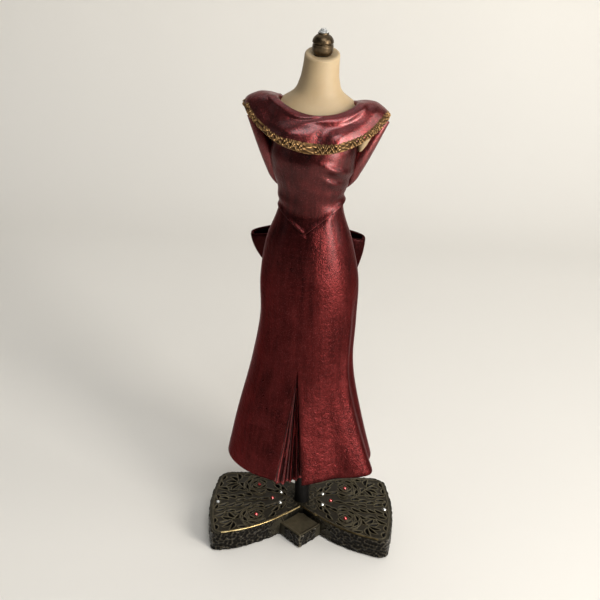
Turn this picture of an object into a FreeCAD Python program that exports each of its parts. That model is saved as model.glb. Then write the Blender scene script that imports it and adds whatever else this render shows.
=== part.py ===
"""Dress-form figurine: a draped evening gown on a headless form, on a post over a bow-shaped filigree base.

Millimetres, +Z up. The origin is on the post's axis at the underside of the felt, and the gown faces -Y.
"""

import FreeCAD, Part

import math
import os

import Sketcher
from FreeCAD import Placement, Rotation, Vector

# Driving dimensions: alias and value, in millimetres unless the alias ends in deg, count or share
DIMENSIONS = [
    # Base casting and its two wings, each symmetric about its own line
    ("felt_thickness", 1.0),
    ("casting_height", 12.0),
    ("wing_length", 55.5),
    ("wing_end_half_width", 30.5),
    ("wing_mid_half_width", 23.5),
    ("wing_waist_half_width", 9.5),
    ("wing_corner_radius", 6.0),
    ("wing_sweep_deg", 11.0),
    ("rim_width", 1.5),
    ("ledge_width", 1.2),
    ("ground_depth", 1.6),
    ("knot_height", 8.5),
    ("knot_reach", 31.5),
    ("knot_half_diagonal", 14.0),
    ("hub_radius", 9.0),
    ("felt_inset", 1.5),
    # Pierced scrollwork plates
    ("plate_thickness", 1.5),
    ("plate_clearance", 0.1),
    ("plate_start", 8.2),
    ("slot_width", 1.9),
    ("slot_length", 6.2),
    ("scroll_inner_radius", 3.9),
    ("scroll_outer_radius", 7.6),
    ("rim_bead_radius", 0.55),
    # Stones
    ("stone_radius", 1.1),
    ("stone_table_radius", 0.6),
    ("stone_height", 0.9),
    ("stone_facet_count", 8),
    ("pair_stone_along", 13.0),
    ("pair_stone_across", 5.3),
    ("inner_stone_along", 18.0),
    ("scroll_stone_along", 27.0),
    ("scroll_stone_across", 15.0),
    ("end_stone_inset", 4.3),
    # Post, rod and their hardware
    ("rod_radius", 2.0),
    ("running_clearance", 0.05),
    ("rod_hole_clearance", 0.6),
    ("post_radius", 4.6),
    ("post_socket_depth", 4.0),
    ("nut_across_flats", 7.0),
    ("nut_height", 3.2),
    ("washer_radius", 5.0),
    ("washer_thickness", 0.8),
    ("nut_pocket_clearance", 0.4),
    ("bush_radius", 3.4),
    ("bush_length", 12.0),
    ("bush_sink", 0.6),
    ("bush_flange_radius", 6.5),
    ("bush_flange_thickness", 1.0),
    ("thrust_washer_thickness", 0.8),
    ("thrust_clearance", 0.1),
    # Gown sections from the hem up: rise over the one below, half width, depth to front and back, shift
    ("hem_gap", 35.5),
    ("hem_half_width", 43.2),
    ("hem_front", 34.5),
    ("hem_back", 36.0),
    ("hem_shift", -2.8),
    ("calf_rise", 28.0),
    ("calf_half_width", 36.8),
    ("calf_front", 29.5),
    ("calf_back", 30.5),
    ("calf_shift", -3.7),
    ("knee_rise", 36.0),
    ("knee_half_width", 29.2),
    ("knee_front", 24.6),
    ("knee_back", 25.0),
    ("knee_shift", -3.2),
    ("thigh_rise", 28.0),
    ("thigh_half_width", 27.2),
    ("thigh_front", 22.4),
    ("thigh_back", 24.0),
    ("thigh_shift", -1.2),
    ("hip_rise", 26.0),
    ("hip_half_width", 27.1),
    ("hip_front", 21.0),
    ("hip_back", 23.5),
    ("hip_shift", -1.6),
    ("belly_rise", 21.0),
    ("belly_half_width", 23.4),
    ("belly_front", 18.2),
    ("belly_back", 18.8),
    ("belly_shift", -2.4),
    ("waist_rise", 20.0),
    ("waist_half_width", 17.2),
    ("waist_front", 13.6),
    ("waist_back", 13.0),
    ("waist_shift", -2.2),
    ("bust_rise", 29.0),
    ("bust_half_width", 22.6),
    ("bust_front", 18.8),
    ("bust_back", 14.0),
    ("bust_shift", -2.2),
    ("chest_rise", 16.0),
    ("chest_half_width", 20.5),
    ("chest_front", 15.0),
    ("chest_back", 12.0),
    ("chest_shift", -2.0),
    ("fold_swell", 7.0),
    ("fold_angle_deg", -33.0),
    ("fold_spread_deg", 17.0),
    # Waist seam and front slit
    ("seam_drop", 12.0),
    ("seam_offset", -5.2),
    ("seam_slope_deg", 38.0),
    ("slit_height", 69.0),
    ("slit_offset", -5.6),
    ("slit_width", 10.5),
    ("slit_depth", 8.5),
    ("slit_apex_depth", 1.5),
    ("pleat_recess", 1.2),
    ("pleat_count", 5),
    ("pleat_top_share", 0.85),
    ("pleat_depth", 2.4),
    ("pleat_clearance", 0.15),
    # Bust form: shoulders and neck
    ("arm_half_width", 27.5),
    ("arm_depth", 11.5),
    ("stub_radius", 3.2),
    ("stub_end_radius", 2.6),
    ("right_stub_drop", 13.0),
    ("left_stub_drop", 7.0),
    ("stub_gap", 1.4),
    ("shoulder_rise", 4.5),
    ("shoulder_half_width", 26.5),
    ("shoulder_depth", 11.5),
    ("yoke_rise", 8.0),
    ("yoke_half_width", 20.0),
    ("yoke_depth", 10.8),
    ("nape_rise", 3.5),
    ("nape_half_width", 12.8),
    ("nape_depth", 10.2),
    ("throat_rise", 6.0),
    ("throat_half_width", 10.2),
    ("throat_depth", 9.7),
    ("gullet_rise", 6.5),
    ("gullet_half_width", 9.3),
    ("gullet_depth", 9.1),
    ("neck_rise", 7.0),
    ("neck_half_width", 8.9),
    ("neck_depth", 8.9),
    ("neck_slant_deg", 14.0),
    ("dish_radius", 16.0),
    ("dish_depth", 1.8),
    # Collar and its braid
    ("collar_thickness", 2.4),
    ("collar_tip_half_width", 38.0),
    ("collar_front", 27.0),
    ("collar_back", 24.0),
    ("collar_front_drop", 24.0),
    ("neckline_front_drop", 7.0),
    ("collar_top_half_width", 31.0),
    ("collar_top_depth", 12.5),
    ("hem_arc_radius", 54.0),
    ("neckline_arc_radius", 42.0),
    ("collar_tilt_deg", 2.6),
    ("braid_width", 5.0),
    ("braid_proud", 1.2),
    # Back drape
    ("drape_top_half_width", 38.0),
    ("drape_top_shift", -0.6),
    ("drape_thickness", 2.2),
    ("drape_top_back", 17.4),
    ("drape_top_drop", 13.4),
    ("drape_hem_gap", 0.4),
    ("drape_foot_rise", 9.5),
    ("drape_edge_back", 5.5),
    ("seat_gap", 0.7),
    # Bow at the back
    ("bow_rise", 8.5),
    ("bow_offset", -3.7),
    ("bow_half_span", 33.8),
    ("bow_loop_rise", 9.0),
    ("bow_loop_bend", 5.0),
    ("bow_loop_drop", 24.0),
    ("bow_loop_depth", 10.0),
    ("bow_end_rise", 1.3),
    ("bow_slope_deg", 12.0),
    ("bow_recess", 6.0),
    ("bow_wall", 2.0),
    ("bow_stand_off", 0.4),
    ("tie_width", 11.0),
    ("tie_bulge", 2.5),
    ("tie_height", 13.0),
    ("tail_width", 12.0),
    ("tail_gap", 0.5),
    ("tail_length", 52.0),
    ("tail_thickness", 2.2),
    ("tail_seat_gap", 0.3),
    ("tail_splay_deg", 9.0),
    # Finial and its crystal
    ("finial_radius", 5.45),
    ("finial_ring_radius", 5.35),
    ("finial_groove_radius", 4.6),
    ("finial_foot_radius", 2.8),
    ("finial_bowl_height", 4.0),
    ("finial_ring_height", 1.7),
    ("finial_groove_height", 0.6),
    ("finial_dome_height", 4.9),
    ("finial_thread_depth", 6.0),
    ("finial_seat_gap", 0.4),
    ("crystal_radius", 2.5),
    ("crystal_height", 2.2),
    ("crystal_facet_count", 12),
]

doc = FreeCAD.newDocument("dress_form")
sheet = doc.addObject("Spreadsheet::Sheet", "sizes")
for row, (alias, value) in enumerate(DIMENSIONS, start=1):
    sheet.set(f"A{row}", alias)
    sheet.set(f"B{row}", str(value))
    sheet.setAlias(f"B{row}", alias)
doc.recompute()

sub_parts = []


def size(alias):
    """A driving dimension's value from the sheet."""
    return float(sheet.get(alias))


# Proportions of the outlines, as shares of the dimension that each one follows
WING_MIDDLE_SHARE = 0.36
WING_BULGE_SHARE = 0.05
WING_CENTRE_SHARE = 0.25
STONE_GIRDLE_SHARE = 0.3
CRYSTAL_TABLE_SHARE = 0.45
FOLD_FADE = 1.4
COLLAR_LEAN_SHARE = 0.7
ARC_REACH_SHARE = 0.98
ARC_SPAN_SHARE = 1.2
LOOP_NECK_SHARE, LOOP_CHEEK_SHARE, LOOP_BELLY_SHARE = 0.3, 0.62, 0.55
LOOP_DEPTH_SHARES = (0.45, 0.95, 1.0)
LOOP_REACH_SHARES = {1: (0.80, 0.99, 1.0), -1: (0.45, 0.93, 1.0)}
TAIL_NOTCH_SHARE = 0.4
BOWL_BEND = (0.75, 0.35)
DOME_BEND = (0.72, 0.68)

# Collar levels from the hem up: share of its drop, then shares of its half width, front and back
COLLAR_LEVELS = (
    (1.15, 0.90, 1.04, 1.00),
    (0.62, 0.985, 0.90, 0.92),
    (0.34, 1.00, 0.72, 0.76),
    (0.14, 0.94, 0.58, 0.62),
)

# Two rings of slots round each scroll stone, the inner one first; fans, leaves and a spine between them
RING_RADII = ("scroll_inner_radius", "scroll_outer_radius")
RING_COUNTS = (4, 6)
RING_START_DEG, RING_STEP_DEG = (45, -105), (90, 45)
RING_LENGTH_SHARES, RING_WIDTH_SHARES = (0.72, 0.82), (0.65, 0.80)
FAN_COUNT, FAN_START_DEG, FAN_STEP_DEG, FAN_PLACE_SHARE = 5, -52, 33, (0.70, 0.62)
FAN_REACH_SHARE, FAN_LENGTH_SHARE, FAN_CURL_SHARE = 0.9, 1.1, 0.14
LEAF_COUNT, LEAF_TURN_DEG, LEAF_START_SHARE, LEAF_STEP_SHARE = 4, 24, 0.60, 0.085
LEAF_ACROSS_SHARE, LEAF_CLOSING_SHARE, LEAF_LENGTH_SHARE, LEAF_CURL_SHARE = 3.0, 0.35, 0.95, 0.12
SPINE_COUNT, SPINE_START_SHARE, SPINE_STEP_SHARE, SPINE_WIDTH_SHARE = 3, 0.8, 1.15, 0.8

# Heights that several pieces share, as expressions over the sheet
CASTING_TOP = "sizes.felt_thickness + sizes.casting_height"
PLATE_BOTTOM = f"{CASTING_TOP} - sizes.plate_thickness"
HEM = f"{CASTING_TOP} + sizes.hem_gap"
THRUST_STACK = "sizes.bush_flange_thickness + sizes.thrust_washer_thickness + sizes.thrust_clearance"
POST_TOP = f"{HEM} - ({THRUST_STACK})"
POST_FOOT = f"{CASTING_TOP} - sizes.post_socket_depth"
NUT_FOOT = "sizes.felt_thickness + sizes.nut_pocket_clearance"
NUT_POCKET_TOP = f"{NUT_FOOT} + sizes.nut_height + sizes.washer_thickness"

casting_top = size("felt_thickness") + size("casting_height")
hem_z = casting_top + size("hem_gap")
section_names = ["hem", "calf", "knee", "thigh", "hip", "belly", "waist", "bust", "chest"]
section_z = {"hem": hem_z}
for below, name in zip(section_names, section_names[1:]):
    section_z[name] = section_z[below] + size(f"{name}_rise")
form_names = ["shoulder", "yoke", "nape", "throat", "gullet", "neck"]
form_z = {}
level = section_z["chest"]
for name in form_names:
    level += size(f"{name}_rise")
    form_z[name] = level
neck_top = form_z["neck"]
collar_top = form_z["yoke"] + size("collar_thickness")
dish_floor = neck_top - size("dish_depth")
finial_foot = dish_floor + size("finial_seat_gap")
bow_z = section_z["hip"] + size("bow_rise")
bow_front = size("hip_back") + size("tail_thickness") + size("bow_stand_off")
bow_y = bow_front + 0.5 * size("bow_loop_depth")
collar_lean = COLLAR_LEAN_SHARE * size("bust_shift")
REACH = 4 * size("wing_length")


def keep(obj, label):
    """Lists an object of the document as a sub-part under the name of its file."""
    obj.Label = label
    sub_parts.append(obj)
    return obj


def new_body(label):
    return keep(doc.addObject("PartDesign::Body", label), label)


def new_sketch(body, name, role="XY_Plane", offset=None):
    """A sketch on one of the body's own origin planes, raised by an expression."""
    sketch = body.newObject("Sketcher::SketchObject", name)
    plane = next(f for f in body.Origin.OriginFeatures if f.Role == role)
    sketch.AttachmentSupport = [(plane, "")]
    sketch.MapMode = "FlatFace"
    if offset:
        sketch.setExpression("AttachmentOffset.Base.z", offset)
    return sketch


def add_circle(sketch, radius_expression, value):
    """A circle on the sketch's origin, its radius bound to the sheet."""
    index = sketch.addGeometry(Part.Circle(Vector(0, 0, 0), Vector(0, 0, 1), value), False)
    sketch.addConstraint(Sketcher.Constraint("Coincident", index, 3, -1, 1))
    radius = sketch.addConstraint(Sketcher.Constraint("Radius", index, value))
    sketch.setExpression(f"Constraints[{radius}]", radius_expression)


def add_loop(sketch, curves):
    """Closed loop of curves drawn in the sketch plane, joined end to end."""
    sketch.addGeometry(curves, False)


def pad(body, sketch, length_expression, name):
    feature = body.newObject("PartDesign::Pad", name)
    feature.Profile = sketch
    feature.setExpression("Length", length_expression)
    return feature


def pocket(body, sketch, name, length_expression=None, reverse=False):
    """A pocket of a bound depth, or through all where none is given."""
    feature = body.newObject("PartDesign::Pocket", name)
    feature.Profile = sketch
    if length_expression:
        feature.setExpression("Length", length_expression)
    else:
        feature.Type = "ThroughAll"
    feature.Reversed = reverse
    return feature


def revolve(body, sketch, name):
    feature = body.newObject("PartDesign::Revolution", name)
    feature.Profile = sketch
    feature.ReferenceAxis = (sketch, ["V_Axis"])
    feature.Angle = 360.0
    return feature


def line(a, b):
    return Part.LineSegment(Vector(*a, 0), Vector(*b, 0))


def arc(a, middle, b):
    return Part.Arc(Vector(*a, 0), Vector(*middle, 0), Vector(*b, 0))


def polygon(points):
    return [line(a, b) for a, b in zip(points, points[1:] + points[:1])]


def prism(name, curves, role_rotation, low, high, tilt=Placement()):
    """Extrusion of a free sketch from low to high along its normal, used as a cutting or keeping tool."""
    sketch = doc.addObject("Sketcher::SketchObject", name + "_outline")
    sketch.addGeometry(curves, False)
    sketch.Placement = tilt.multiply(Placement(role_rotation.multVec(Vector(0, 0, low)), role_rotation))
    tool = doc.addObject("Part::Extrusion", name)
    tool.Base = sketch
    tool.DirMode = "Normal"
    tool.LengthFwd = high - low
    tool.Solid = True
    return tool


FLAT = Rotation()
UPRIGHT = Rotation(Vector(1, 0, 0), 90)


def boolean(kind, name, base, tool):
    """Part::Cut, Part::Common or Part::Fuse of two objects of the document."""
    feature = doc.addObject(f"Part::{kind}", name)
    feature.Base = base
    feature.Tool = tool
    return feature


def cylinder(name, radius_expression, foot_expression, height_expression):
    feature = doc.addObject("Part::Cylinder", name)
    feature.setExpression("Radius", radius_expression)
    feature.setExpression("Height", height_expression)
    feature.setExpression("Placement.Base.z", foot_expression)
    return feature


def ring_wire(z, half_width, front, back, shift, swell=0.0, points=20):
    """Closed smooth curve round the form: an oval with its own front and back depth and a swelling fold."""
    fold_angle = math.radians(size("fold_angle_deg"))
    fold_spread = math.radians(size("fold_spread_deg"))
    curve_points = []
    for step in range(points):
        turn = 2 * math.pi * step / points
        depth = back if math.sin(turn) > 0 else front
        away = (turn - fold_angle + math.pi) % (2 * math.pi) - math.pi
        grow = 1 + swell * math.exp(-((away / fold_spread) ** 2))
        x = half_width * math.cos(turn) * grow + shift
        curve_points.append(Vector(x, depth * math.sin(turn) * grow, z))
    curve = Part.BSplineCurve()
    curve.interpolate(curve_points, PeriodicFlag=True)
    return Part.Wire([curve.toShape()])


def lofted(name, wires, tilt=Placement()):
    """Solid through closed curves, smooth from one to the next."""
    feature = doc.addObject("Part::Feature", name)
    feature.Shape = Part.makeLoft(wires, True, False)
    feature.Placement = tilt
    return feature


# Wing outline in the wing's own line: along runs out from the post, across is positive towards the back
def wing_frame(side):
    """A function from (along, across) of one wing, which slants to the front, to the base's plan."""
    slant = math.tan(math.radians(size("wing_sweep_deg")))
    centre_back = WING_CENTRE_SHARE * size("wing_waist_half_width")

    def place(along, across):
        return (side * along, centre_back - slant * along + across)

    return place


def wing_outline(side, inset, start):
    """Curves of a wing's outline, inset from the casting's edge and cut off square at a start along it."""
    place = wing_frame(side)
    length = size("wing_length") - inset
    corner = size("wing_corner_radius") - 0.5 * inset
    end_half = size("wing_end_half_width") - inset
    middle_half = size("wing_mid_half_width") - inset
    waist_half = size("wing_waist_half_width") - inset
    middle_along = WING_MIDDLE_SHARE * size("wing_length")
    bulge = WING_BULGE_SHARE * length
    shoulder_along = length - bulge - corner

    def edge_half(along):
        """Half width of the wing's side by a parabola through waist, middle and end."""
        u = along / shoulder_along
        m = middle_along / shoulder_along
        curve = (middle_half - waist_half - (end_half - waist_half) * m) / (m * (1 - m))
        return waist_half + (end_half - waist_half) * u + curve * u * (1 - u)

    near, halfway = edge_half(start), 0.5 * (start + shoulder_along)
    end_along = length - bulge
    end_across = end_half - corner
    nick = corner * (1 - math.sqrt(0.5))

    def mirrored(along, across, sign):
        return place(along, sign * across)

    curves = []
    for sign, order in ((-1, 1), (1, -1)):
        side_curves = [
            ((start, near), (halfway, edge_half(halfway)), (shoulder_along, end_half)),
            ((shoulder_along, end_half), (end_along - nick, end_half - nick), (end_along, end_across)),
        ]
        for points in side_curves[::order]:
            curves.append(arc(*[mirrored(*p, sign) for p in points[::order]]))
        if sign < 0:
            curves.append(arc(place(end_along, -end_across), place(length, 0), place(end_along, end_across)))
    curves.append(line(place(start, near), place(start, -near)))
    return curves


def lens(place, spot, direction, length, width, curl):
    """A pointed slot of two arcs, its long axis turned from the wing's line and curled to one side."""
    c, s = math.cos(direction), math.sin(direction)

    def at(u, v):
        return place(spot[0] + u * c - v * s, spot[1] + u * s + v * c)

    half, bow = 0.5 * length, 0.5 * width
    tip, tail = at(half, -curl), at(-half, -curl)
    return [arc(tail, at(0, bow), tip), arc(tip, at(0, -bow), tail)]


def scrollwork(side):
    """Pierced slots of a plate: scrolls round the scroll stones, fans in the corners, leaves between."""
    place = wing_frame(side)
    length, width = size("slot_length"), size("slot_width")
    along, across = size("scroll_stone_along"), size("scroll_stone_across")
    wing, end_half = size("wing_length"), size("wing_end_half_width")
    curves = []
    for sign in (-1, 1):
        for ring, count in enumerate(RING_COUNTS):
            radius, slot = size(RING_RADII[ring]), RING_LENGTH_SHARES[ring] * length
            slot_width = RING_WIDTH_SHARES[ring] * width
            for step in range(count):
                turn = math.radians(RING_START_DEG[ring] + RING_STEP_DEG[ring] * step)
                spot = (along + radius * math.cos(turn), sign * (across + radius * math.sin(turn)))
                curl = -sign * slot**2 / (8 * radius)
                curves += lens(place, spot, sign * (turn + math.pi / 2), slot, slot_width, curl)
        for step in range(FAN_COUNT):
            turn = math.radians(FAN_START_DEG + FAN_STEP_DEG * step)
            out, up = FAN_REACH_SHARE * length * math.cos(turn), FAN_REACH_SHARE * length * math.sin(turn)
            spot = (FAN_PLACE_SHARE[0] * wing + out, sign * (FAN_PLACE_SHARE[1] * end_half + up))
            curl = sign * FAN_CURL_SHARE * length
            curves += lens(place, spot, sign * turn, FAN_LENGTH_SHARE * length, width, curl)
        for step in range(LEAF_COUNT):
            from_middle = (LEAF_ACROSS_SHARE - LEAF_CLOSING_SHARE * step) * width
            spot = ((LEAF_START_SHARE + LEAF_STEP_SHARE * step) * wing, sign * from_middle)
            turn, curl = sign * math.radians(LEAF_TURN_DEG), sign * LEAF_CURL_SHARE * length
            curves += lens(place, spot, turn, LEAF_LENGTH_SHARE * length, width, curl)
    for step in range(SPINE_COUNT):
        spot = (size("inner_stone_along") + (SPINE_START_SHARE + SPINE_STEP_SHARE * step) * length, 0)
        curves += lens(place, spot, 0.0, LEAF_LENGTH_SHARE * length, SPINE_WIDTH_SHARE * width, 0.0)
    return curves


def wing_stone_spots(side):
    """Plan points of one wing's red stones and clear stones."""
    place = wing_frame(side)
    across = size("scroll_stone_across")
    red = [place(size("inner_stone_along"), 0)]
    red += [place(size("scroll_stone_along"), sign * across) for sign in (-1, 1)]
    clear = [place(size("pair_stone_along"), sign * size("pair_stone_across")) for sign in (-1, 1)]
    clear.append(place(size("wing_length") - size("end_stone_inset"), 0))
    return red, clear


def make_base_casting():
    """Bow casting: two wings, the hub under the post, the low front knot, a stepped recess in each wing."""
    body = new_body("base_casting")
    for side, name in ((1, "right"), (-1, "left")):
        sketch = new_sketch(body, f"{name}_wing_outline", offset="sizes.felt_thickness")
        add_loop(sketch, wing_outline(side, 0.0, 0.0))
        pad(body, sketch, "sizes.casting_height", f"{name}_wing")
    hub = new_sketch(body, "hub_outline", offset="sizes.felt_thickness")
    add_circle(hub, "sizes.hub_radius", size("hub_radius"))
    pad(body, hub, "sizes.casting_height", "hub")
    knot = new_sketch(body, "knot_outline", offset="sizes.felt_thickness")
    reach, half = size("knot_reach"), size("knot_half_diagonal")
    add_loop(knot, polygon([(0, -reach), (half, half - reach), (0, 2 * half - reach), (-half, half - reach)]))
    pad(body, knot, "sizes.knot_height - sizes.felt_thickness", "front_knot")
    inset = size("rim_width")
    for side, name in ((1, "right"), (-1, "left")):
        seat = new_sketch(body, f"{name}_seat_outline", offset=CASTING_TOP)
        add_loop(seat, wing_outline(side, inset, size("plate_start") - size("plate_clearance")))
        pocket(body, seat, f"{name}_plate_seat", "sizes.plate_thickness")
        ground = new_sketch(body, f"{name}_ground_outline", offset=PLATE_BOTTOM)
        deep = inset + size("ledge_width")
        add_loop(ground, wing_outline(side, deep, size("plate_start") + size("ledge_width")))
        pocket(body, ground, f"{name}_ground", "sizes.ground_depth")
    socket = new_sketch(body, "post_socket_outline", offset=CASTING_TOP)
    add_circle(socket, "sizes.post_radius", size("post_radius"))
    pocket(body, socket, "post_socket", "sizes.post_socket_depth")
    bore = new_sketch(body, "rod_bore_outline", offset=CASTING_TOP)
    add_circle(bore, "sizes.rod_radius + sizes.running_clearance", size("rod_radius"))
    pocket(body, bore, "rod_bore")
    nut = new_sketch(body, "nut_pocket_outline", offset="sizes.felt_thickness")
    room = "sizes.washer_radius + sizes.nut_pocket_clearance"
    add_circle(nut, room, size("washer_radius"))
    depth = "sizes.nut_pocket_clearance + sizes.nut_height + sizes.washer_thickness"
    pocket(body, nut, "nut_pocket", depth, reverse=True)
    return body


def make_filigree_plate(side, label):
    body = new_body(label)
    inset = size("rim_width") + size("plate_clearance")
    outline = new_sketch(body, f"{label}_outline", offset=PLATE_BOTTOM)
    add_loop(outline, wing_outline(side, inset, size("plate_start")))
    pad(body, outline, "sizes.plate_thickness", f"{label}_blank")
    pierced = new_sketch(body, f"{label}_scrolls", offset=CASTING_TOP)
    add_loop(pierced, scrollwork(side))
    pocket(body, pierced, f"{label}_piercing")
    return body


def make_rim_bead(side, label):
    """Half-round bead along the front edge of a wing, seated on the casting's rim."""
    front_side = wing_outline(side, 0.5 * size("rim_width"), size("plate_start"))[0]
    path = Part.Wire([front_side.toShape()])
    path.translate(Vector(0, 0, casting_top))
    edge = path.Edges[0]
    start, direction = edge.valueAt(edge.FirstParameter), edge.tangentAt(edge.FirstParameter)
    circle = Part.Wire([Part.makeCircle(size("rim_bead_radius"), start, direction)])
    tube = doc.addObject("Part::Feature", f"{label}_tube")
    tube.Shape = path.makePipeShell([circle], True, True)
    below = doc.addObject("Part::Box", f"{label}_below")
    below.Length = below.Width = 2 * REACH
    below.setExpression("Height", CASTING_TOP)
    below.Placement.Base = Vector(-REACH, -REACH, 0)
    return keep(boolean("Cut", label, tube, below), label)


def faceted(spot, foot, radius, height, table, count):
    """Flat-backed stone: a straight girdle, a faceted crown and a flat table."""
    centre = Vector(*spot, foot)
    turns = [2 * math.pi * step / count for step in range(count + 1)]
    wires = []
    for share, r in ((0.0, radius), (STONE_GIRDLE_SHARE, radius), (1.0, table)):
        rim = [centre + Vector(r * math.cos(t), r * math.sin(t), share * height) for t in turns]
        wires.append(Part.makePolygon(rim))
    return Part.makeLoft(wires, True, True)


def make_stones(label, kind):
    group = doc.addObject("Part::Feature", label)
    spots = wing_stone_spots(1)[kind] + wing_stone_spots(-1)[kind]
    sizes = [size(f"stone_{part}") for part in ("radius", "height", "table_radius")]
    count = int(size("stone_facet_count"))
    group.Shape = Part.makeCompound([faceted(spot, casting_top, *sizes, count) for spot in spots])
    return keep(group, label)


def make_felt_pad():
    body = new_body("felt_pad")
    for side, name in ((1, "right"), (-1, "left")):
        sketch = new_sketch(body, f"felt_{name}_outline")
        add_loop(sketch, wing_outline(side, size("felt_inset"), 0.0))
        pad(body, sketch, "sizes.felt_thickness", f"felt_{name}")
    middle = new_sketch(body, "felt_middle_outline")
    add_circle(middle, "sizes.hub_radius - 0.5 * sizes.felt_inset", size("hub_radius"))
    pad(body, middle, "sizes.felt_thickness", "felt_middle")
    return body


def ring_body(label, foot, height, outer, inner):
    """Plain ring: outer and inner radius and its place are all expressions."""
    body = new_body(label)
    sketch = new_sketch(body, f"{label}_outline", offset=foot)
    add_circle(sketch, outer, 2.0)
    add_circle(sketch, inner, 1.0)
    pad(body, sketch, height, f"{label}_ring")
    return body


def make_hardware():
    rod_room = "sizes.rod_radius + sizes.running_clearance"
    post_height = f"{POST_TOP} - ({POST_FOOT})"
    ring_body("post", POST_FOOT, post_height, "sizes.post_radius", rod_room)
    washer_foot = f"{NUT_FOOT} + sizes.nut_height"
    ring_body("base_washer", washer_foot, "sizes.washer_thickness", "sizes.washer_radius", rod_room)
    thrust_height, thrust_radius = "sizes.thrust_washer_thickness", "sizes.bush_flange_radius"
    ring_body("thrust_washer", POST_TOP, thrust_height, thrust_radius, rod_room)

    rod = new_body("tie_rod")
    outline = new_sketch(rod, "tie_rod_outline", offset=NUT_FOOT)
    add_circle(outline, "sizes.rod_radius", size("rod_radius"))
    thread_top = finial_foot + size("finial_thread_depth") - size("finial_seat_gap")
    pad(rod, outline, f"{thread_top} - ({NUT_FOOT})", "tie_rod_length")

    nut = new_body("base_nut")
    hexagon = new_sketch(nut, "base_nut_outline", offset=NUT_FOOT)
    corner = size("nut_across_flats") / math.sqrt(3)
    turns = [math.radians(60 * step) for step in range(6)]
    add_loop(hexagon, polygon([(corner * math.cos(t), corner * math.sin(t)) for t in turns]))
    add_circle(hexagon, rod_room, size("rod_radius"))
    pad(nut, hexagon, "sizes.nut_height", "base_nut_blank")


def make_bush(label, flange_foot, up):
    """Flanged bush that carries the form on the rod: the flange outside, the barrel in the resin."""
    body = new_body(label)
    sketch = new_sketch(body, f"{label}_profile", role="XZ_Plane")
    inner = size("rod_radius") + size("running_clearance")
    barrel, flange = size("bush_radius"), size("bush_flange_radius")
    thick, length = size("bush_flange_thickness"), size("bush_length")
    low, high = flange_foot, flange_foot + up * thick
    far = high + up * length
    profile = [(inner, low), (flange, low), (flange, high), (barrel, high), (barrel, far), (inner, far)]
    add_loop(sketch, polygon(profile))
    revolve(body, sketch, f"{label}_turned")
    return body


def gown_wire(name, grow=0.0):
    rise = (section_z["knee"] - section_z[name]) / (section_z["knee"] - section_z["hem"])
    swell = size("fold_swell") / size("hem_half_width") * max(rise, 0.0) ** FOLD_FADE
    depths = [size(f"{name}_{part}") + grow for part in ("half_width", "front", "back")]
    return ring_wire(section_z[name], *depths, size(f"{name}_shift"), swell=swell)


def slit_back(share):
    """Depth of the slit's floor behind the front, from the hem (0) to the top of the slit (1)."""
    low = -(size("hem_front") - size("slit_depth"))
    high = -(size("knee_front") - size("slit_apex_depth"))
    return low + share * (high - low)


def slit_section(share):
    """Cutting section of the slit at a share of its height: a slot open to the front."""
    half = max(0.5 * size("slit_width") * (1 - share), 0.1)
    z = hem_z + share * size("slit_height")
    left, right = size("slit_offset") - half, size("slit_offset") + half
    back = slit_back(share)
    corners = [(left, back), (right, back), (right, -REACH), (left, -REACH), (left, back)]
    return Part.makePolygon([Vector(x, y, z) for x, y in corners])


def make_gown():
    """Skirt and bodice from one lofted form, parted at the pointed waist seam."""
    form = lofted("gown_form", [gown_wire(name) for name in section_names])
    seam_z = section_z["waist"] - size("seam_drop")
    rise = math.tan(math.radians(size("seam_slope_deg")))
    offset = size("seam_offset")
    seam = polygon(
        [
            (offset, seam_z),
            (offset + REACH, seam_z + rise * REACH),
            (offset + REACH, neck_top + rise * REACH),
            (offset - REACH, neck_top + rise * REACH),
            (offset - REACH, seam_z + rise * REACH),
        ]
    )
    above = prism("above_seam", seam, UPRIGHT, -REACH, REACH)
    bodice_blank = boolean("Common", "bodice_blank", form, above)
    skirt_blank = boolean("Cut", "skirt_blank", form, above)

    slit = doc.addObject("Part::Feature", "slit_wedge")
    slit.Shape = Part.makeLoft([slit_section(0.0), slit_section(1.0)], True, True)
    opened = boolean("Cut", "opened_skirt", skirt_blank, slit)

    barrel = cylinder("lower_bush_seat", "sizes.bush_radius", HEM, "sizes.bush_length")
    room = "sizes.rod_radius + sizes.rod_hole_clearance"
    channel = cylinder("rod_channel", room, HEM, f"{neck_top} - ({HEM})")
    seated = boolean("Cut", "seated_skirt", opened, barrel)
    keep(boolean("Cut", "skirt", seated, channel), "skirt")
    keep(boolean("Cut", "bodice", bodice_blank, channel), "bodice")
    return channel


def pleat_section(share):
    """Zigzag section of the pleats at a share of the slit's height, its back on the slit's floor."""
    count = int(size("pleat_count"))
    half = (0.5 * size("slit_width") - size("pleat_clearance")) * (1 - share)
    z, middle, back = hem_z + share * size("slit_height"), size("slit_offset"), slit_back(share)
    ridge = (size("slit_depth") - size("pleat_recess")) * (1 - share)
    valley = ridge - size("pleat_depth") * (1 - share)
    points = [Vector(middle + half, back, z), Vector(middle - half, back, z)]
    for step in range(2 * count + 1):
        depth = valley if step % 2 else ridge
        points.append(Vector(middle + half * (step / count - 1), back - depth, z))
    return Part.makePolygon(points + points[:1])


def make_pleat_insert():
    """Pleated godet that fills the slit and narrows towards its top."""
    insert = doc.addObject("Part::Feature", "pleat_insert")
    insert.Shape = Part.makeLoft([pleat_section(0.0), pleat_section(size("pleat_top_share"))], True, True)
    return keep(insert, "pleat_insert")


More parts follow.
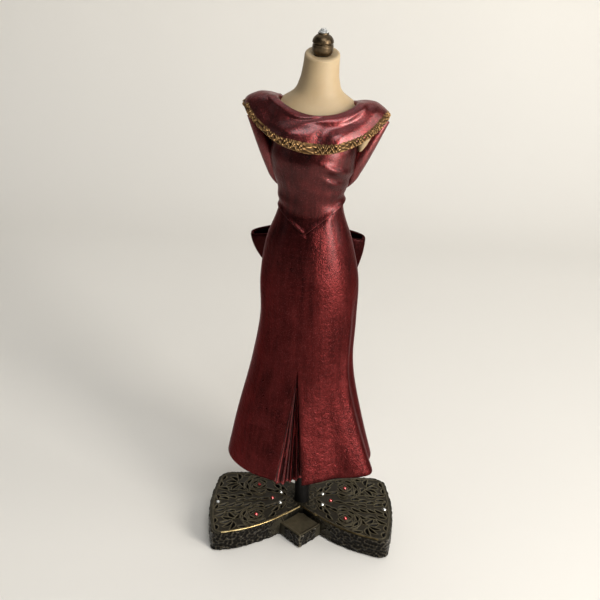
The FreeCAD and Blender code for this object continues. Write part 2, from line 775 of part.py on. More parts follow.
def make_bust_form(channel):
    """Neck and shoulders on the bodice's top, with arm stubs beside it, slanted and dished for the finial."""
    shift, arm = size("bust_shift"), size("arm_depth")
    wires = [ring_wire(section_z["chest"], size("arm_half_width"), arm, arm, shift)]
    for index, name in enumerate(form_names):
        depth = size(f"{name}_depth")
        lean = shift * (1 - index / (len(form_names) - 1))
        wires.append(ring_wire(form_z[name], size(f"{name}_half_width"), depth, depth, lean))
    blank = lofted("bust_blank", wires)
    for side, name in ((1, "right"), (-1, "left")):
        stub = doc.addObject("Part::Cone", f"{name}_arm_stub")
        stub.setExpression("Radius1", "sizes.stub_end_radius")
        stub.setExpression("Radius2", "sizes.stub_radius")
        stub.setExpression("Height", f"sizes.{name}_stub_drop + sizes.stub_radius")
        out = size("bust_half_width") + size("stub_gap") + size("stub_radius")
        stub.Placement.Base = Vector(shift + side * out, 0, section_z["chest"] - size(f"{name}_stub_drop"))
        blank = boolean("Fuse", f"bust_with_{name}_stub", blank, stub)
    slant = doc.addObject("Part::Box", "neck_slant")
    slant.Length = slant.Width = slant.Height = 4 * size("neck_half_width")
    reach = 2 * size("neck_half_width")
    tilt = Rotation(Vector(1, 0, 0), size("neck_slant_deg"))
    slant.Placement = Placement(Vector(0, 0, neck_top) - tilt.multVec(Vector(reach, reach, 0)), tilt)
    slanted = boolean("Cut", "slanted_bust", blank, slant)
    dish = doc.addObject("Part::Sphere", "neck_dish")
    dish.setExpression("Radius", "sizes.dish_radius")
    dish.Placement.Base = Vector(0, 0, dish_floor + size("dish_radius"))
    dished = boolean("Cut", "dished_bust", slanted, dish)
    bush_foot = dish_floor - size("bush_sink") - size("bush_length")
    seat = cylinder("upper_bush_seat", "sizes.bush_radius", f"{bush_foot}", f"{neck_top - bush_foot}")
    seated = boolean("Cut", "seated_bust", dished, seat)
    room = "sizes.rod_radius + sizes.running_clearance"
    ring_body("upper_bush", f"{bush_foot}", "sizes.bush_length", "sizes.bush_radius", room)
    return keep(boolean("Cut", "bust_form", seated, channel), "bust_form")


def collar_wires(grow):
    """Closed curves of the collar's surface, grown outwards (or inwards) by a wall."""
    tip, top_half = size("collar_tip_half_width"), size("collar_top_half_width")
    front, back, top_depth = size("collar_front"), size("collar_back"), size("collar_top_depth")
    levels = [(share, a * tip, f * front, b * back) for share, a, f, b in COLLAR_LEVELS]
    levels.append((0.0, top_half, top_depth, top_depth))
    wires = []
    for share, *depths in levels:
        z = collar_top + min(grow, 0) - share * size("collar_front_drop")
        wires.append(ring_wire(z, *[depth + grow for depth in depths], collar_lean))
    return wires


def smile(low, radius):
    """Arc in the front view, lowest on the middle line, as far as the reach of the collar."""
    reach = min(ARC_SPAN_SHARE * size("collar_tip_half_width"), ARC_REACH_SHARE * radius)
    side = low + radius - math.sqrt(radius**2 - reach**2)
    return (-reach, side), (0, low), (reach, side)


def crescent(low, high, low_radius, high_radius):
    """Closed outline between two smiling arcs."""
    under = [(x + collar_lean, z) for x, z in smile(low, low_radius)]
    over = [(x + collar_lean, z) for x, z in smile(high, high_radius)]
    return [arc(*under), line(under[2], over[2]), arc(*over[::-1]), line(over[0], under[0])]


def collar_tilt():
    """Small turn of the collar about the front-to-back line, down on its right."""
    lean = Rotation(Vector(0, 1, 0), size("collar_tilt_deg"))
    pivot = Vector(collar_lean, 0, collar_top)
    return Placement(pivot - lean.multVec(pivot), lean)


def make_collar(bust):
    """Draped collar shell between its neckline and its hem arc, with a raised braid along the hem."""
    tilt = collar_tilt()
    outer = lofted("collar_outer", collar_wires(0.0), tilt)
    inner = lofted("collar_inner", collar_wires(-size("collar_thickness")), tilt)
    shell = boolean("Cut", "collar_shell", outer, inner)
    low = collar_top - size("collar_front_drop")
    high = collar_top - size("neckline_front_drop")
    low_radius, high_radius = size("hem_arc_radius"), size("neckline_arc_radius")
    band = prism("collar_band", crescent(low, high, low_radius, high_radius), UPRIGHT, -REACH, REACH, tilt)
    trimmed = boolean("Common", "collar_trimmed", shell, band)
    keep(boolean("Cut", "collar", trimmed, bust), "collar")
    proud = lofted("braid_outer", collar_wires(size("braid_proud")), tilt)
    strip_outline = crescent(low, low + size("braid_width"), low_radius, low_radius)
    strip = prism("braid_strip", strip_outline, UPRIGHT, -REACH, REACH, tilt)
    braid = boolean("Common", "braid_trimmed", proud, strip)
    keep(boolean("Cut", "braid_trim", braid, outer), "braid_trim")


def make_back_drape():
    """Draped panel behind the arms, from the collar's hem to the waist, lying on the bodice's back."""
    foot_z = section_z["waist"] + size("drape_foot_rise")
    top_z = collar_top - size("drape_top_drop")
    share = size("drape_foot_rise") / size("bust_rise")
    gap, wall, shift = size("seat_gap"), size("drape_thickness"), size("bust_shift")
    foot_half, foot_back = (
        size(f"waist_{part}") + share * (size(f"bust_{part}") - size(f"waist_{part}")) + gap
        for part in ("half_width", "back")
    )
    shells = []
    for name, grow in (("drape_outer", wall), ("drape_inner", 0.0)):
        foot, top = foot_half + grow, size("drape_top_half_width") - wall + grow
        wires = [
            ring_wire(foot_z, foot, foot, foot_back + grow, shift),
            ring_wire(top_z, top, top, size("drape_top_back") - wall + grow, size("drape_top_shift")),
        ]
        shells.append(lofted(name, wires))
    shell = boolean("Cut", "drape_shell", *shells)
    behind = doc.addObject("Part::Box", "drape_side")
    behind.Length = behind.Width = behind.Height = 2 * REACH
    behind.Placement.Base = Vector(-REACH, size("drape_edge_back"), 0)
    panel = boolean("Common", "drape_panel", shell, behind)
    hem_low = collar_top - size("collar_front_drop") - size("drape_hem_gap")
    hem = [(x + collar_lean, z) for x, z in smile(hem_low, size("hem_arc_radius"))]
    left_foot, right_foot = ((x, section_z["waist"]) for x in (hem[0][0], hem[2][0]))
    outline = [arc(*hem), line(hem[2], right_foot), line(right_foot, left_foot), line(left_foot, hem[0])]
    under_hem = prism("under_collar_hem", outline, UPRIGHT, -REACH, REACH, collar_tilt())
    keep(boolean("Common", "back_drape", panel, under_hem), "back_drape")


def loop_wire(side, z, reach_share, depth_share, inset):
    """Teardrop section of a bow loop at a height, from the tie out to its round end."""
    start = size("bow_offset") + side * (0.5 * size("tie_width") + inset)
    span = size("bow_half_span") - 0.5 * size("tie_width") - 2 * inset
    end = start + side * reach_share * span
    depth = 0.5 * depth_share * size("bow_loop_depth") - inset
    neck, cheek = LOOP_NECK_SHARE * depth, LOOP_CHEEK_SHARE * depth
    middle, turn = start + LOOP_BELLY_SHARE * (end - start), end - side * cheek
    curves = [
        arc((start, bow_y - neck), (middle, bow_y - depth), (turn, bow_y - cheek)),
        arc((turn, bow_y - cheek), (end, bow_y), (turn, bow_y + cheek)),
        arc((turn, bow_y + cheek), (middle, bow_y + depth), (start, bow_y + neck)),
        line((start, bow_y + neck), (start, bow_y - neck)),
    ]
    wire = Part.Wire([curve.toShape() for curve in curves])
    wire.translate(Vector(0, 0, z))
    return wire


def make_bow_loop(side, label):
    """Drooping loop: narrow at its foot, open at the top, where its edge slopes down to the round end."""
    levels = [bow_z - size("bow_loop_drop"), bow_z - size("bow_loop_bend"), bow_z + size("bow_loop_rise")]
    shares = list(zip(levels, LOOP_REACH_SHARES[side], LOOP_DEPTH_SHARES))
    outer = lofted(f"{label}_outer", [loop_wire(side, *share, 0.0) for share in shares])
    top = levels[-1]
    floor_share, top_share = (LOOP_REACH_SHARES[side][level] for level in (1, 2))
    hollow = [(bow_z - size("bow_recess"), floor_share), (top, top_share)]
    inner_wires = [loop_wire(side, z, share, LOOP_DEPTH_SHARES[-1], size("bow_wall")) for z, share in hollow]
    inner = lofted(f"{label}_inner", inner_wires)
    ribbon = boolean("Cut", f"{label}_ribbon", outer, inner)
    fall = math.tan(math.radians(size("bow_slope_deg")))
    end_x = size("bow_offset") + side * size("bow_half_span")
    end_z = bow_z + size("bow_end_rise")
    inner_z, outer_z = end_z + REACH * fall, end_z - REACH * fall
    over = [(end_x - side * REACH, inner_z), (end_x + side * REACH, outer_z),
            (end_x + side * REACH, inner_z + REACH), (end_x - side * REACH, inner_z + REACH)]
    above = prism(f"{label}_above", polygon(over), UPRIGHT, -REACH, REACH)
    keep(boolean("Cut", label, ribbon, above), label)


def make_bow():
    """Bow at the back of the hips: two hollow loops, the tie between them and two tails on the skirt."""
    gap = size("tail_seat_gap")
    room = lofted("bow_room", [gown_wire(name, gap) for name in section_names])
    for side, label in ((1, "bow_loop_right"), (-1, "bow_loop_left")):
        make_bow_loop(side, label)

    left, right = (size("bow_offset") + side * 0.5 * size("tie_width") for side in (-1, 1))
    back = bow_y + 0.5 * size("bow_loop_depth")
    plan = [
        line((left, 0), (right, 0)),
        line((right, 0), (right, back)),
        arc((right, back), (size("bow_offset"), back + size("tie_bulge")), (left, back)),
        line((left, back), (left, 0)),
    ]
    half = 0.5 * size("tie_height")
    block = prism("bow_tie_block", plan, FLAT, bow_z - half, bow_z + half)
    keep(boolean("Cut", "bow_tie", block, room), "bow_tie")

    skin = lofted("tail_skin", [gown_wire(name, gap + size("tail_thickness")) for name in section_names])
    layer = boolean("Cut", "tail_layer", skin, room)
    foot_z = bow_z - half
    for side, label in ((1, "bow_tail_right"), (-1, "bow_tail_left")):
        inner = size("bow_offset") + side * size("tail_gap")
        outer = inner + side * size("tail_width")
        drift = side * size("tail_length") * math.tan(math.radians(size("tail_splay_deg")))
        low = foot_z - size("tail_length")
        notch = (0.5 * (inner + outer) + drift, low + TAIL_NOTCH_SHARE * size("tail_width"))
        pinch = size("bow_offset") + side * 0.5 * size("tie_width")
        strip = [(inner, foot_z), (pinch, foot_z), (outer + drift, low), notch, (inner + drift, low)]
        tail = prism(f"{label}_strip", polygon(strip), UPRIGHT, -REACH, 0)
        keep(boolean("Common", label, layer, tail), label)


def make_finial():
    """Turned ball finial with a collared bowl, tapped for the rod, and the crystal on its crown."""
    body = new_body("finial")
    profile = new_sketch(body, "finial_profile", role="XZ_Plane")
    hole = size("rod_radius") + size("running_clearance")
    foot, ring = size("finial_foot_radius"), size("finial_ring_radius")
    ball, groove, crown = size("finial_radius"), size("finial_groove_radius"), size("crystal_radius")
    z0 = finial_foot
    z1 = z0 + size("finial_bowl_height")
    z2 = z1 + size("finial_ring_height")
    z3 = z2 + size("finial_groove_height")
    z4 = z3 + size("finial_dome_height")
    roof = z0 + size("finial_thread_depth")
    bowl_bend = (foot + BOWL_BEND[0] * (ring - foot), z0 + BOWL_BEND[1] * (z1 - z0))
    dome_bend = (crown + DOME_BEND[0] * (ball - crown), z3 + DOME_BEND[1] * (z4 - z3))
    curves = [
        line((hole, z0), (foot, z0)),
        arc((foot, z0), bowl_bend, (ring, z1)),
        line((ring, z1), (ring, z2)),
        line((ring, z2), (groove, z2)),
        line((groove, z2), (groove, z3)),
        line((groove, z3), (ball, z3)),
        arc((ball, z3), dome_bend, (crown, z4)),
        line((crown, z4), (0, z4)),
        line((0, z4), (0, roof)),
        line((0, roof), (hole, roof)),
        line((hole, roof), (hole, z0)),
    ]
    add_loop(profile, curves)
    revolve(body, profile, "finial_turned")

    crystal = doc.addObject("Part::Feature", "finial_crystal")
    count = int(size("crystal_facet_count"))
    crystal.Shape = faceted((0, 0), z4, crown, size("crystal_height"), CRYSTAL_TABLE_SHARE * crown, count)
    keep(crystal, "finial_crystal")


steps = [
    make_base_casting,
    lambda: make_filigree_plate(1, "filigree_right"),
    lambda: make_filigree_plate(-1, "filigree_left"),
    lambda: make_rim_bead(1, "rim_bead_right"),
    lambda: make_rim_bead(-1, "rim_bead_left"),
    lambda: make_stones("red_stones", 0),
    lambda: make_stones("clear_stones", 1),
    make_felt_pad,
    make_hardware,
    lambda: make_bush("lower_bush", hem_z - size("bush_flange_thickness"), 1),
]
for step in steps:
    step()
rod_channel = make_gown()
make_pleat_insert()
bust_form = make_bust_form(rod_channel)
make_collar(bust_form)
make_back_drape()
make_bow()
make_finial()

doc.recompute()
os.makedirs("parts", exist_ok=True)
for obj in doc.Objects:
    if "Invalid" in obj.State or "Error" in obj.State:
        raise RuntimeError(f"{obj.Label} failed to build")
for obj in sub_parts:
    if obj.Shape.isNull() or not obj.Shape.isValid() or not obj.Shape.Solids:
        raise RuntimeError(f"{obj.Label} has no valid solid")
for obj in sub_parts:
    obj.Shape.exportStep(f"parts/{obj.Label}.step")
    print(obj.Label, len(obj.Shape.Solids), round(obj.Shape.Volume, 1))
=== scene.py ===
"""Looks of the dress-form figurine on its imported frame.

Sizes are millimetres in the CAD frame. The stage, the lamps and the camera are in metres.
"""

import bmesh
import bpy
import numpy as np
from numpy import cos, pi, radians, sin, tan
from mathutils import Matrix, Vector


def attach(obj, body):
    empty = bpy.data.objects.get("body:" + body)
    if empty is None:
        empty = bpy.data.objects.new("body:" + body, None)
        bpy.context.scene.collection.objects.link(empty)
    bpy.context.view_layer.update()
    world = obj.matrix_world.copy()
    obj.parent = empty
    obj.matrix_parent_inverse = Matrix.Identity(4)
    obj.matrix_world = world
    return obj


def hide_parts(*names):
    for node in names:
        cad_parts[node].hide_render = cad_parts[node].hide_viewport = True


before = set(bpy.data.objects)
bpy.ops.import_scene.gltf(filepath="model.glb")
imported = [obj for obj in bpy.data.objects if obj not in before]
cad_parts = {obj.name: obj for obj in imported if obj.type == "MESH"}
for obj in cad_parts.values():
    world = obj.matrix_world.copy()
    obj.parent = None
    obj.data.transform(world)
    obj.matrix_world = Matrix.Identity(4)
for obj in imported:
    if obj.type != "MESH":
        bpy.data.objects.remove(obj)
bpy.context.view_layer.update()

MM = 0.001
TAU = 2 * pi
SIDES = ((1, "right"), (-1, "left"))

# Gown sections from the hem up: height, half width, depth to the front, depth to the back, sideways shift
GOWN = np.array([
    (48.5, 43.2, 34.5, 36.0, -2.8),
    (76.5, 36.8, 29.5, 30.5, -3.7),
    (112.5, 29.2, 24.6, 25.0, -3.2),
    (140.5, 27.2, 22.4, 24.0, -1.2),
    (166.5, 27.1, 21.0, 23.5, -1.6),
    (187.5, 23.4, 18.2, 18.8, -2.4),
    (207.5, 17.2, 13.6, 13.0, -2.2),
    (236.5, 22.6, 18.8, 14.0, -2.2),
    (252.5, 20.5, 15.0, 12.0, -2.0),
])
HEM, KNEE, HIP, WAIST, BUST, CHEST = (GOWN[i, 0] for i in (0, 2, 4, 6, 7, 8))
# Fold that swells the skirt's right side: share of the width, growth towards the hem, angle and spread
FOLD_SWELL, FOLD_GROWTH, FOLD_ANGLE, FOLD_SPREAD = 7.0 / GOWN[0, 1], 1.4, radians(-33), radians(17)
SEAM_Z, SEAM_X, SEAM_SLOPE, SEAM_STEPS = WAIST - 12.0, -5.2, tan(radians(38)), 12
SLIT_X, SLIT_WIDTH, SLIT_HEIGHT, SLIT_DEPTH = -5.6, 10.5, 69.0, 8.5
NECK_TOP, NECK_SLANT = 288.0, tan(radians(14))
CASTING_TOP, CASTING_FOOT = 13.0, 1.0
SLOT_DEPTH, LIP_RISE = 1.1, 0.26
BEVEL_SEGMENTS, BEVEL_ANGLE, WELD_METRES = 2, radians(50), 1e-6


def smooth_columns(table, z):
    """Columns of a table at heights z, on a smooth curve through its rows."""
    knots, values = table[:, 0], table[:, 1:]
    slopes = np.gradient(values, knots, axis=0)
    z = np.clip(np.asarray(z, float), knots[0], knots[-1])
    i = np.clip(np.searchsorted(knots, z, side="right") - 1, 0, len(knots) - 2)
    step = (knots[i + 1] - knots[i])[..., None]
    t = ((z - knots[i])[..., None]) / step
    before, leaving = (1 + 2 * t) * (1 - t) ** 2, t * (1 - t) ** 2
    after, reaching = t * t * (3 - 2 * t), t * t * (t - 1)
    line = before * values[i] + after * values[i + 1]
    bend = step * (leaving * slopes[i] + reaching * slopes[i + 1])
    return np.moveaxis(line + bend, -1, 0)


def bell(x, middle, spread):
    return np.exp(-(((x - middle) / spread) ** 2))


def waves(angle, table):
    """Sum of waves, each a lift, a count round the form and a phase."""
    return sum(lift * sin(count * angle + phase) for lift, count, phase in table)


def around(columns):
    """Angles round a closed ring."""
    return np.linspace(0, TAU, columns, endpoint=False)


def unit(x):
    return np.clip(x, 0, 1)


def shares(count):
    return np.linspace(0, 1, count)


def joined(*columns):
    """Points made of one column of values for each coordinate."""
    return np.stack(np.broadcast_arrays(*columns), axis=-1)


def outward(theta, length=1.0):
    """Level steps of a length at angles round the upright axis."""
    return joined(length * cos(theta), length * sin(theta), 0.0)


def run_of(points):
    """Distance along a path at each of its points."""
    return np.concatenate([[0], np.cumsum(np.linalg.norm(np.diff(points, axis=0), axis=1))])


def directions(steps):
    """Unit vectors along steps."""
    return steps / np.linalg.norm(steps, axis=1)[:, None]


def gown_surface(theta, z):
    """Points of the gown's form at an angle and a height."""
    half, front, back, shift = smooth_columns(GOWN, z)
    depth = np.where(sin(theta) > 0, back, front)
    rise = unit((KNEE - z) / (KNEE - HEM)) ** FOLD_GROWTH
    turn = (theta - FOLD_ANGLE + pi) % TAU - pi
    swell = 1 + FOLD_SWELL * rise * bell(turn, 0, FOLD_SPREAD)
    x = shift + half * cos(theta) * swell
    return joined(x, depth * sin(theta) * swell, z)


def front_angle(x, z):
    """Angle of the gown's front at a sideways place."""
    half, _, _, shift = smooth_columns(GOWN, z)
    return -np.arccos(np.clip((x - shift) / half, -1, 1))


def seam_height(theta):
    """Height of the pointed waist seam round the form, closed in on step by step."""
    z = np.full_like(theta, WAIST)
    for _ in range(SEAM_STEPS):
        x = gown_surface(theta, z)[..., 0]
        z = 0.5 * z + 0.5 * (SEAM_Z + SEAM_SLOPE * np.abs(x - SEAM_X))
    return z


def link(name, data):
    obj = bpy.data.objects.new(name, data)
    bpy.context.scene.collection.objects.link(obj)
    return obj


def paint(obj, material):
    obj.data.materials.clear()
    obj.data.materials.append(material)
    return obj


def piece_from(name, points, faces, material):
    """Smooth object of points and faces."""
    mesh = bpy.data.meshes.new(name)
    places = [tuple(p) for p in np.asarray(points) * MM]
    mesh.from_pydata(places, [], [tuple(int(i) for i in f) for f in faces])
    mesh.validate()
    mesh.shade_smooth()
    return paint(link(name, mesh), material)


def grid_faces(rows, columns, close_columns, start=0):
    """Quads of a grid of points, row by row, closed round where asked."""
    at = start + np.arange(rows * columns).reshape(rows, columns)
    after = np.roll(at, -1, axis=1)
    quads = joined(at[:-1], after[:-1], after[1:], at[1:])
    return (quads if close_columns else quads[:, :-1]).reshape(-1, 4)


def surface(name, points, material, close=False):
    """Object of a grid of points (rows, columns, 3)."""
    points = np.asarray(points)
    faces = grid_faces(*points.shape[:2], close)
    return piece_from(name, points.reshape(-1, 3), faces, material)


def thickened(sheet, thickness, bevel):
    """Gives a sheet a wall inwards with softened edges."""
    wall = sheet.modifiers.new("wall", "SOLIDIFY")
    wall.thickness, wall.offset, wall.use_quality_normals = thickness * MM, -1.0, True
    edge = sheet.modifiers.new("edge", "BEVEL")
    edge.width, edge.segments = bevel * MM, BEVEL_SEGMENTS
    edge.limit_method, edge.angle_limit = "ANGLE", BEVEL_ANGLE
    return sheet


def weld(obj):
    """Joins points of a mesh that lie on each other and turns its faces outwards."""
    work = bmesh.new()
    work.from_mesh(obj.data)
    bmesh.ops.remove_doubles(work, verts=work.verts, dist=WELD_METRES)
    bmesh.ops.recalc_face_normals(work, faces=work.faces)
    work.to_mesh(obj.data)
    work.free()
    obj.data.shade_smooth()
    return obj


def tube(name, path, radii, material, columns=20):
    """Rounded roll along a path of points, closed at both ends."""
    along = directions(np.gradient(path, axis=0))
    first = directions(np.cross(along, [0.0, 1.0, 0.0]))
    second = np.cross(along, first)
    turn = around(columns)[:, None]
    rings = [p + r * (cos(turn) * a + sin(turn) * b) for p, r, a, b in zip(path, radii, first, second)]
    ends = [np.repeat(path[i][None], columns, axis=0) for i in (0, -1)]
    return weld(surface(name, [ends[0], *rings, ends[1]], material, close=True))


def settle(obj, body, slot, *nodes):
    """Puts a piece on its body and lets it stand for CAD nodes, which it hides; slot is not used."""
    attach(obj, body)
    if nodes:
        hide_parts(*nodes)
    return obj


# Materials. Lengths in them are metres; colours are linear red, green and blue.
NOISE_RANGE = (0.3, 0.7)
MIX_FIRST, MIX_SECOND, MIX_RESULT = 6, 7, 2  # colour sockets of the mix node, whose names are not unique


class Nodes:
    """Small helper to wire a material's nodes."""

    def __init__(self, name):
        self.material = bpy.data.materials.new(name)
        self.material.use_nodes = True
        self.tree = self.material.node_tree
        self.shader = self.tree.nodes["Principled BSDF"]
        self.coords = self.add("ShaderNodeTexCoord").outputs["Object"]

    def fill(self, inputs, values):
        """Gives inputs plain values or links them to other nodes."""
        for key, value in values.items():
            if isinstance(value, bpy.types.NodeSocket):
                self.tree.links.new(value, inputs[key])
            else:
                inputs[key].default_value = value

    def add(self, kind, inputs=None, **settings):
        node = self.tree.nodes.new(kind)
        for key, value in settings.items():
            setattr(node, key, value)
        self.fill(node.inputs, inputs or {})
        return node

    def noise(self, scale, detail=4.0, rough=0.55, distortion=0.0, vector=None):
        inputs = {"Vector": vector or self.coords, "Scale": scale, "Detail": detail, "Roughness": rough,
                  "Distortion": distortion}
        return self.add("ShaderNodeTexNoise", inputs).outputs["Fac"]

    def ramp(self, fac, stops):
        node = self.add("ShaderNodeValToRGB", {"Fac": fac})
        elements = node.color_ramp.elements
        while len(elements) < len(stops):
            elements.new(0.5)
        for element, (place, colour) in zip(elements, stops):
            element.position, element.color = place, (*colour, 1.0)
        return node.outputs["Color"]

    def scaled(self, value, given, wanted):
        """A value carried from one range to another."""
        inputs = dict(zip(("From Min", "From Max", "To Min", "To Max"), (*given, *wanted)))
        return self.add("ShaderNodeMapRange", {"Value": value, **inputs}).outputs["Result"]

    def spread(self, fac, low, high):
        """A noise carried from its usual range to a range of values."""
        return self.scaled(fac, NOISE_RANGE, (low, high))

    def mix(self, fac, a, b, blend="MIX"):
        inputs = {"Factor": fac, MIX_FIRST: a, MIX_SECOND: b}
        return self.add("ShaderNodeMix", inputs, data_type="RGBA", blend_type=blend).outputs[MIX_RESULT]

    def bump(self, height, strength, distance, normal=None):
        inputs = {"Height": height, "Strength": strength, "Distance": distance}
        if normal:
            inputs["Normal"] = normal
        return self.add("ShaderNodeBump", inputs).outputs["Normal"]

    def hollows(self):
        """Low in the recesses and high on the raised edges; it lays patina in hollows, and painted shade in
        the pleats' creases.
        """
        return self.add("ShaderNodeNewGeometry").outputs["Pointiness"]

    def height(self):
        return self.add("ShaderNodeSeparateXYZ", {"Vector": self.coords}).outputs["Z"]

    def set(self, **sockets):
        self.fill(self.shader.inputs, {key.replace("_", " "): value for key, value in sockets.items()})
        return self.material


GOWN_SHADES = ((0.30, (0.019, 0.0012, 0.001)), (0.50, (0.046, 0.004, 0.0036)), (0.72, (0.115, 0.016, 0.016)))
# Painted shade for creases: the colour is kept on the ridges and darkened in the hollows
CREASE_PAINTED_SHADE = ((0.44, (0.02, 0.02, 0.02)), (0.50, (0.22, 0.22, 0.22)), (0.54, (1.0, 1.0, 1.0)))
BRUSH_RED, FLAKE_RED, EDGE_RED = (0.15, 0.018, 0.018, 1.0), (0.36, 0.085, 0.09, 1.0), (0.55, 0.32, 0.34, 1.0)
COAT_AT_BUST = 0.55


def gown_material(name, tone, low_coat, creased=False):
    """Pearl burgundy paint, brushed, mottled and flaked; tone scales it, and creases get painted shade where
    asked.
    """
    n = Nodes(name)
    brush = n.add("ShaderNodeMapping", {"Vector": n.coords, "Scale": (330.0, 330.0, 16.0)}).outputs["Vector"]
    streaks = n.noise(1.0, 5.0, 0.62, vector=brush)
    clouds = n.noise(48.0, 6.0, 0.62, 0.8)
    flakes = n.scaled(n.noise(2300.0, 1.0, 0.5), (0.58, 0.78), (0.0, 0.45))
    brushed = n.mix(n.spread(streaks, 0.0, 0.6), n.ramp(clouds, GOWN_SHADES), BRUSH_RED)
    pearl = n.mix(flakes, brushed, FLAKE_RED)
    colour = n.mix(1.0, pearl, (tone, tone, tone, 1.0), "MULTIPLY")
    # Painted shade: the colour is darkened in the hollows of the creases
    if creased:
        colour = n.mix(1.0, colour, n.ramp(n.hollows(), CREASE_PAINTED_SHADE), "MULTIPLY")
    hammered, peel = n.noise(380.0, 4.0, 0.6), n.noise(1250.0, 2.0, 0.6)
    bumps = n.bump(peel, 0.45, 0.0003, n.bump(streaks, 0.25, 0.0006, n.bump(hammered, 0.42, 0.0009)))
    coat = n.scaled(n.height(), (HIP * MM, BUST * MM), (low_coat, COAT_AT_BUST * tone))
    return n.set(Base_Color=colour, Metallic=0.95, Roughness=n.spread(clouds, 0.26, 0.35), Normal=bumps,
                 Specular_Tint=EDGE_RED, Coat_Weight=coat, Coat_Roughness=0.26)


# A wear is a noise's scale, detail, roughness and distortion; a grain is a noise, a strength and a distance.
def finish(name, wear, shades, rough, grain, by=None, stain=None, **sockets):
    """Worn finish: shades by its wear or by another measure, a stain where it is worn, and a grain."""
    n = Nodes(name)
    worn = n.noise(*wear)
    colour = n.ramp(by(n) if by else worn, shades)
    if stain:
        share, shade = stain
        colour = n.mix(n.spread(worn, 0.0, share), colour, (*shade, 1.0))
    texture, strength, distance = grain
    return n.set(Base_Color=colour, Roughness=n.spread(worn, *rough),
                 Normal=n.bump(n.noise(*texture), strength, distance), **sockets)


def pewter(name, dark, middle, light, rough):
    """Dark antiqued metal, black in the hollows and rubbed pale on the edges."""
    shades = ((0.45, dark), (0.505, middle), (0.57, light))
    return finish(name, (150.0, 5.0, 0.65, 0.4), shades, (rough, rough + 0.2), ((620.0,), 0.35, 0.0004),
                  Nodes.hollows, (0.5, dark), Metallic=0.4, Specular_IOR_Level=0.14)


def rubbed_metal(name, low, high, rough, metallic=1.0, specular=0.5):
    """Plain metal or paint with wear in its colour and roughness."""
    return finish(name, (260.0, 5.0, 0.6), ((0.32, low), (0.68, high)), (rough, rough + 0.18),
                  ((780.0, 3.0), 0.2, 0.0002), Metallic=metallic, Specular_IOR_Level=specular)


def speckled(name, noise, low, high, **sockets):
    """Plain finish of two shades, each with its place in a noise."""
    n = Nodes(name)
    return n.set(Base_Color=n.ramp(n.noise(*noise), (low, high)), **sockets)


def plate_level(n):
    """Height on a pierced plate: 0 at the bottom of its slots and 1 on their lips."""
    return n.scaled(n.height(), ((CASTING_TOP - SLOT_DEPTH) * MM, (CASTING_TOP + LIP_RISE) * MM), (0.0, 1.0))


BRAID_SHADES = ((0.46, (0.009, 0.005, 0.002)), (0.52, (0.20, 0.10, 0.034)), (0.59, (0.78, 0.48, 0.20)))
IVORY_SHADES = ((0.30, (0.36, 0.258, 0.14)), (0.55, (0.41, 0.306, 0.175)), (0.80, (0.455, 0.350, 0.206)))
# Plate colours by height: near-black on the slots' floors as painted shade for the pierced holes, dark pewter
# on the plate, rubbed pale on the lips
PLATE_SHADE_AND_WEAR = ((0.0, (0.0012, 0.001, 0.0008)), (0.62, (0.004, 0.0035, 0.0025)),
                (0.84, (0.023, 0.018, 0.0095)), (1.0, (0.135, 0.114, 0.066)))
FELT_SHADES, FUZZ = ((0.35, (0.008, 0.008, 0.008)), (0.7, (0.035, 0.034, 0.032))), (1200.0, 5.0, 0.7)
GOWN_PAINT = gown_material("pearl_burgundy", 0.81, 0.06)
# The bow's loops take a much darker copy of the gown paint: painted shade
BOW_PAINTED_SHADE = gown_material("burgundy_painted_shade", 0.24, 0.02)
# The collar and the drape's rolls take a lighter copy of the gown paint: painted highlight and sheen
GOWN_PAINTED_HIGHLIGHT = gown_material("burgundy_painted_highlight", 1.45, 0.3)
# The pleats take a copy of the gown paint four times lighter, with painted shade in the creases: painted
# highlights on their edges
PLEAT_PAINTED_LIGHT = gown_material("burgundy_pleat_painted_light", 4.0, 0.6, creased=True)
BRAID = finish("antique_braid", (330.0, 4.0, 0.65), BRAID_SHADES, (0.28, 0.5), ((900.0, 3.0), 0.3, 0.0003),
               Nodes.hollows, (0.6, (0.060, 0.033, 0.012)), Metallic=0.8)
IVORY = finish("ivory_satin", (42.0, 5.0, 0.6, 0.5), IVORY_SHADES, (0.5, 0.62), ((700.0, 3.0), 0.08, 0.0003),
               Subsurface_Weight=0.12, Subsurface_Radius=(0.004, 0.002, 0.001))
PEWTER = pewter(
    "antique_pewter", (0.005, 0.004, 0.0025), (0.024, 0.020, 0.0115), (0.12, 0.10, 0.062), 0.34)
GROUND = pewter(
    "pewter_ground", (0.002, 0.0018, 0.0012), (0.008, 0.007, 0.0045), (0.05, 0.044, 0.029), 0.44)
HAMMERED = pewter(
    "hammered_pewter", (0.0015, 0.0012, 0.001), (0.008, 0.0065, 0.0045), (0.18, 0.155, 0.11), 0.17)
GILT = rubbed_metal("rubbed_gilt", (0.24, 0.16, 0.055), (0.72, 0.58, 0.30), 0.24)
BRONZE = rubbed_metal("dark_bronze", (0.042, 0.027, 0.015), (0.15, 0.107, 0.062), 0.28)
BLACK = rubbed_metal(
    "satin_black", (0.002, 0.002, 0.002), (0.006, 0.0055, 0.005), 0.32, metallic=0.0, specular=0.22)
STEEL = rubbed_metal("plated_steel", (0.38, 0.38, 0.37), (0.58, 0.58, 0.57), 0.26)
BRASS = rubbed_metal("turned_brass", (0.36, 0.25, 0.09), (0.58, 0.43, 0.18), 0.28)
FOIL, GLASS = (1400.0, 2.0, 0.5), dict(Metallic=0.3, Roughness=0.08, Coat_Weight=0.4, Coat_Roughness=0.03)
RED = speckled("red_stone", FOIL, (0.38, (0.12, 0.001, 0.002)), (0.60, (0.60, 0.008, 0.012)), **GLASS)
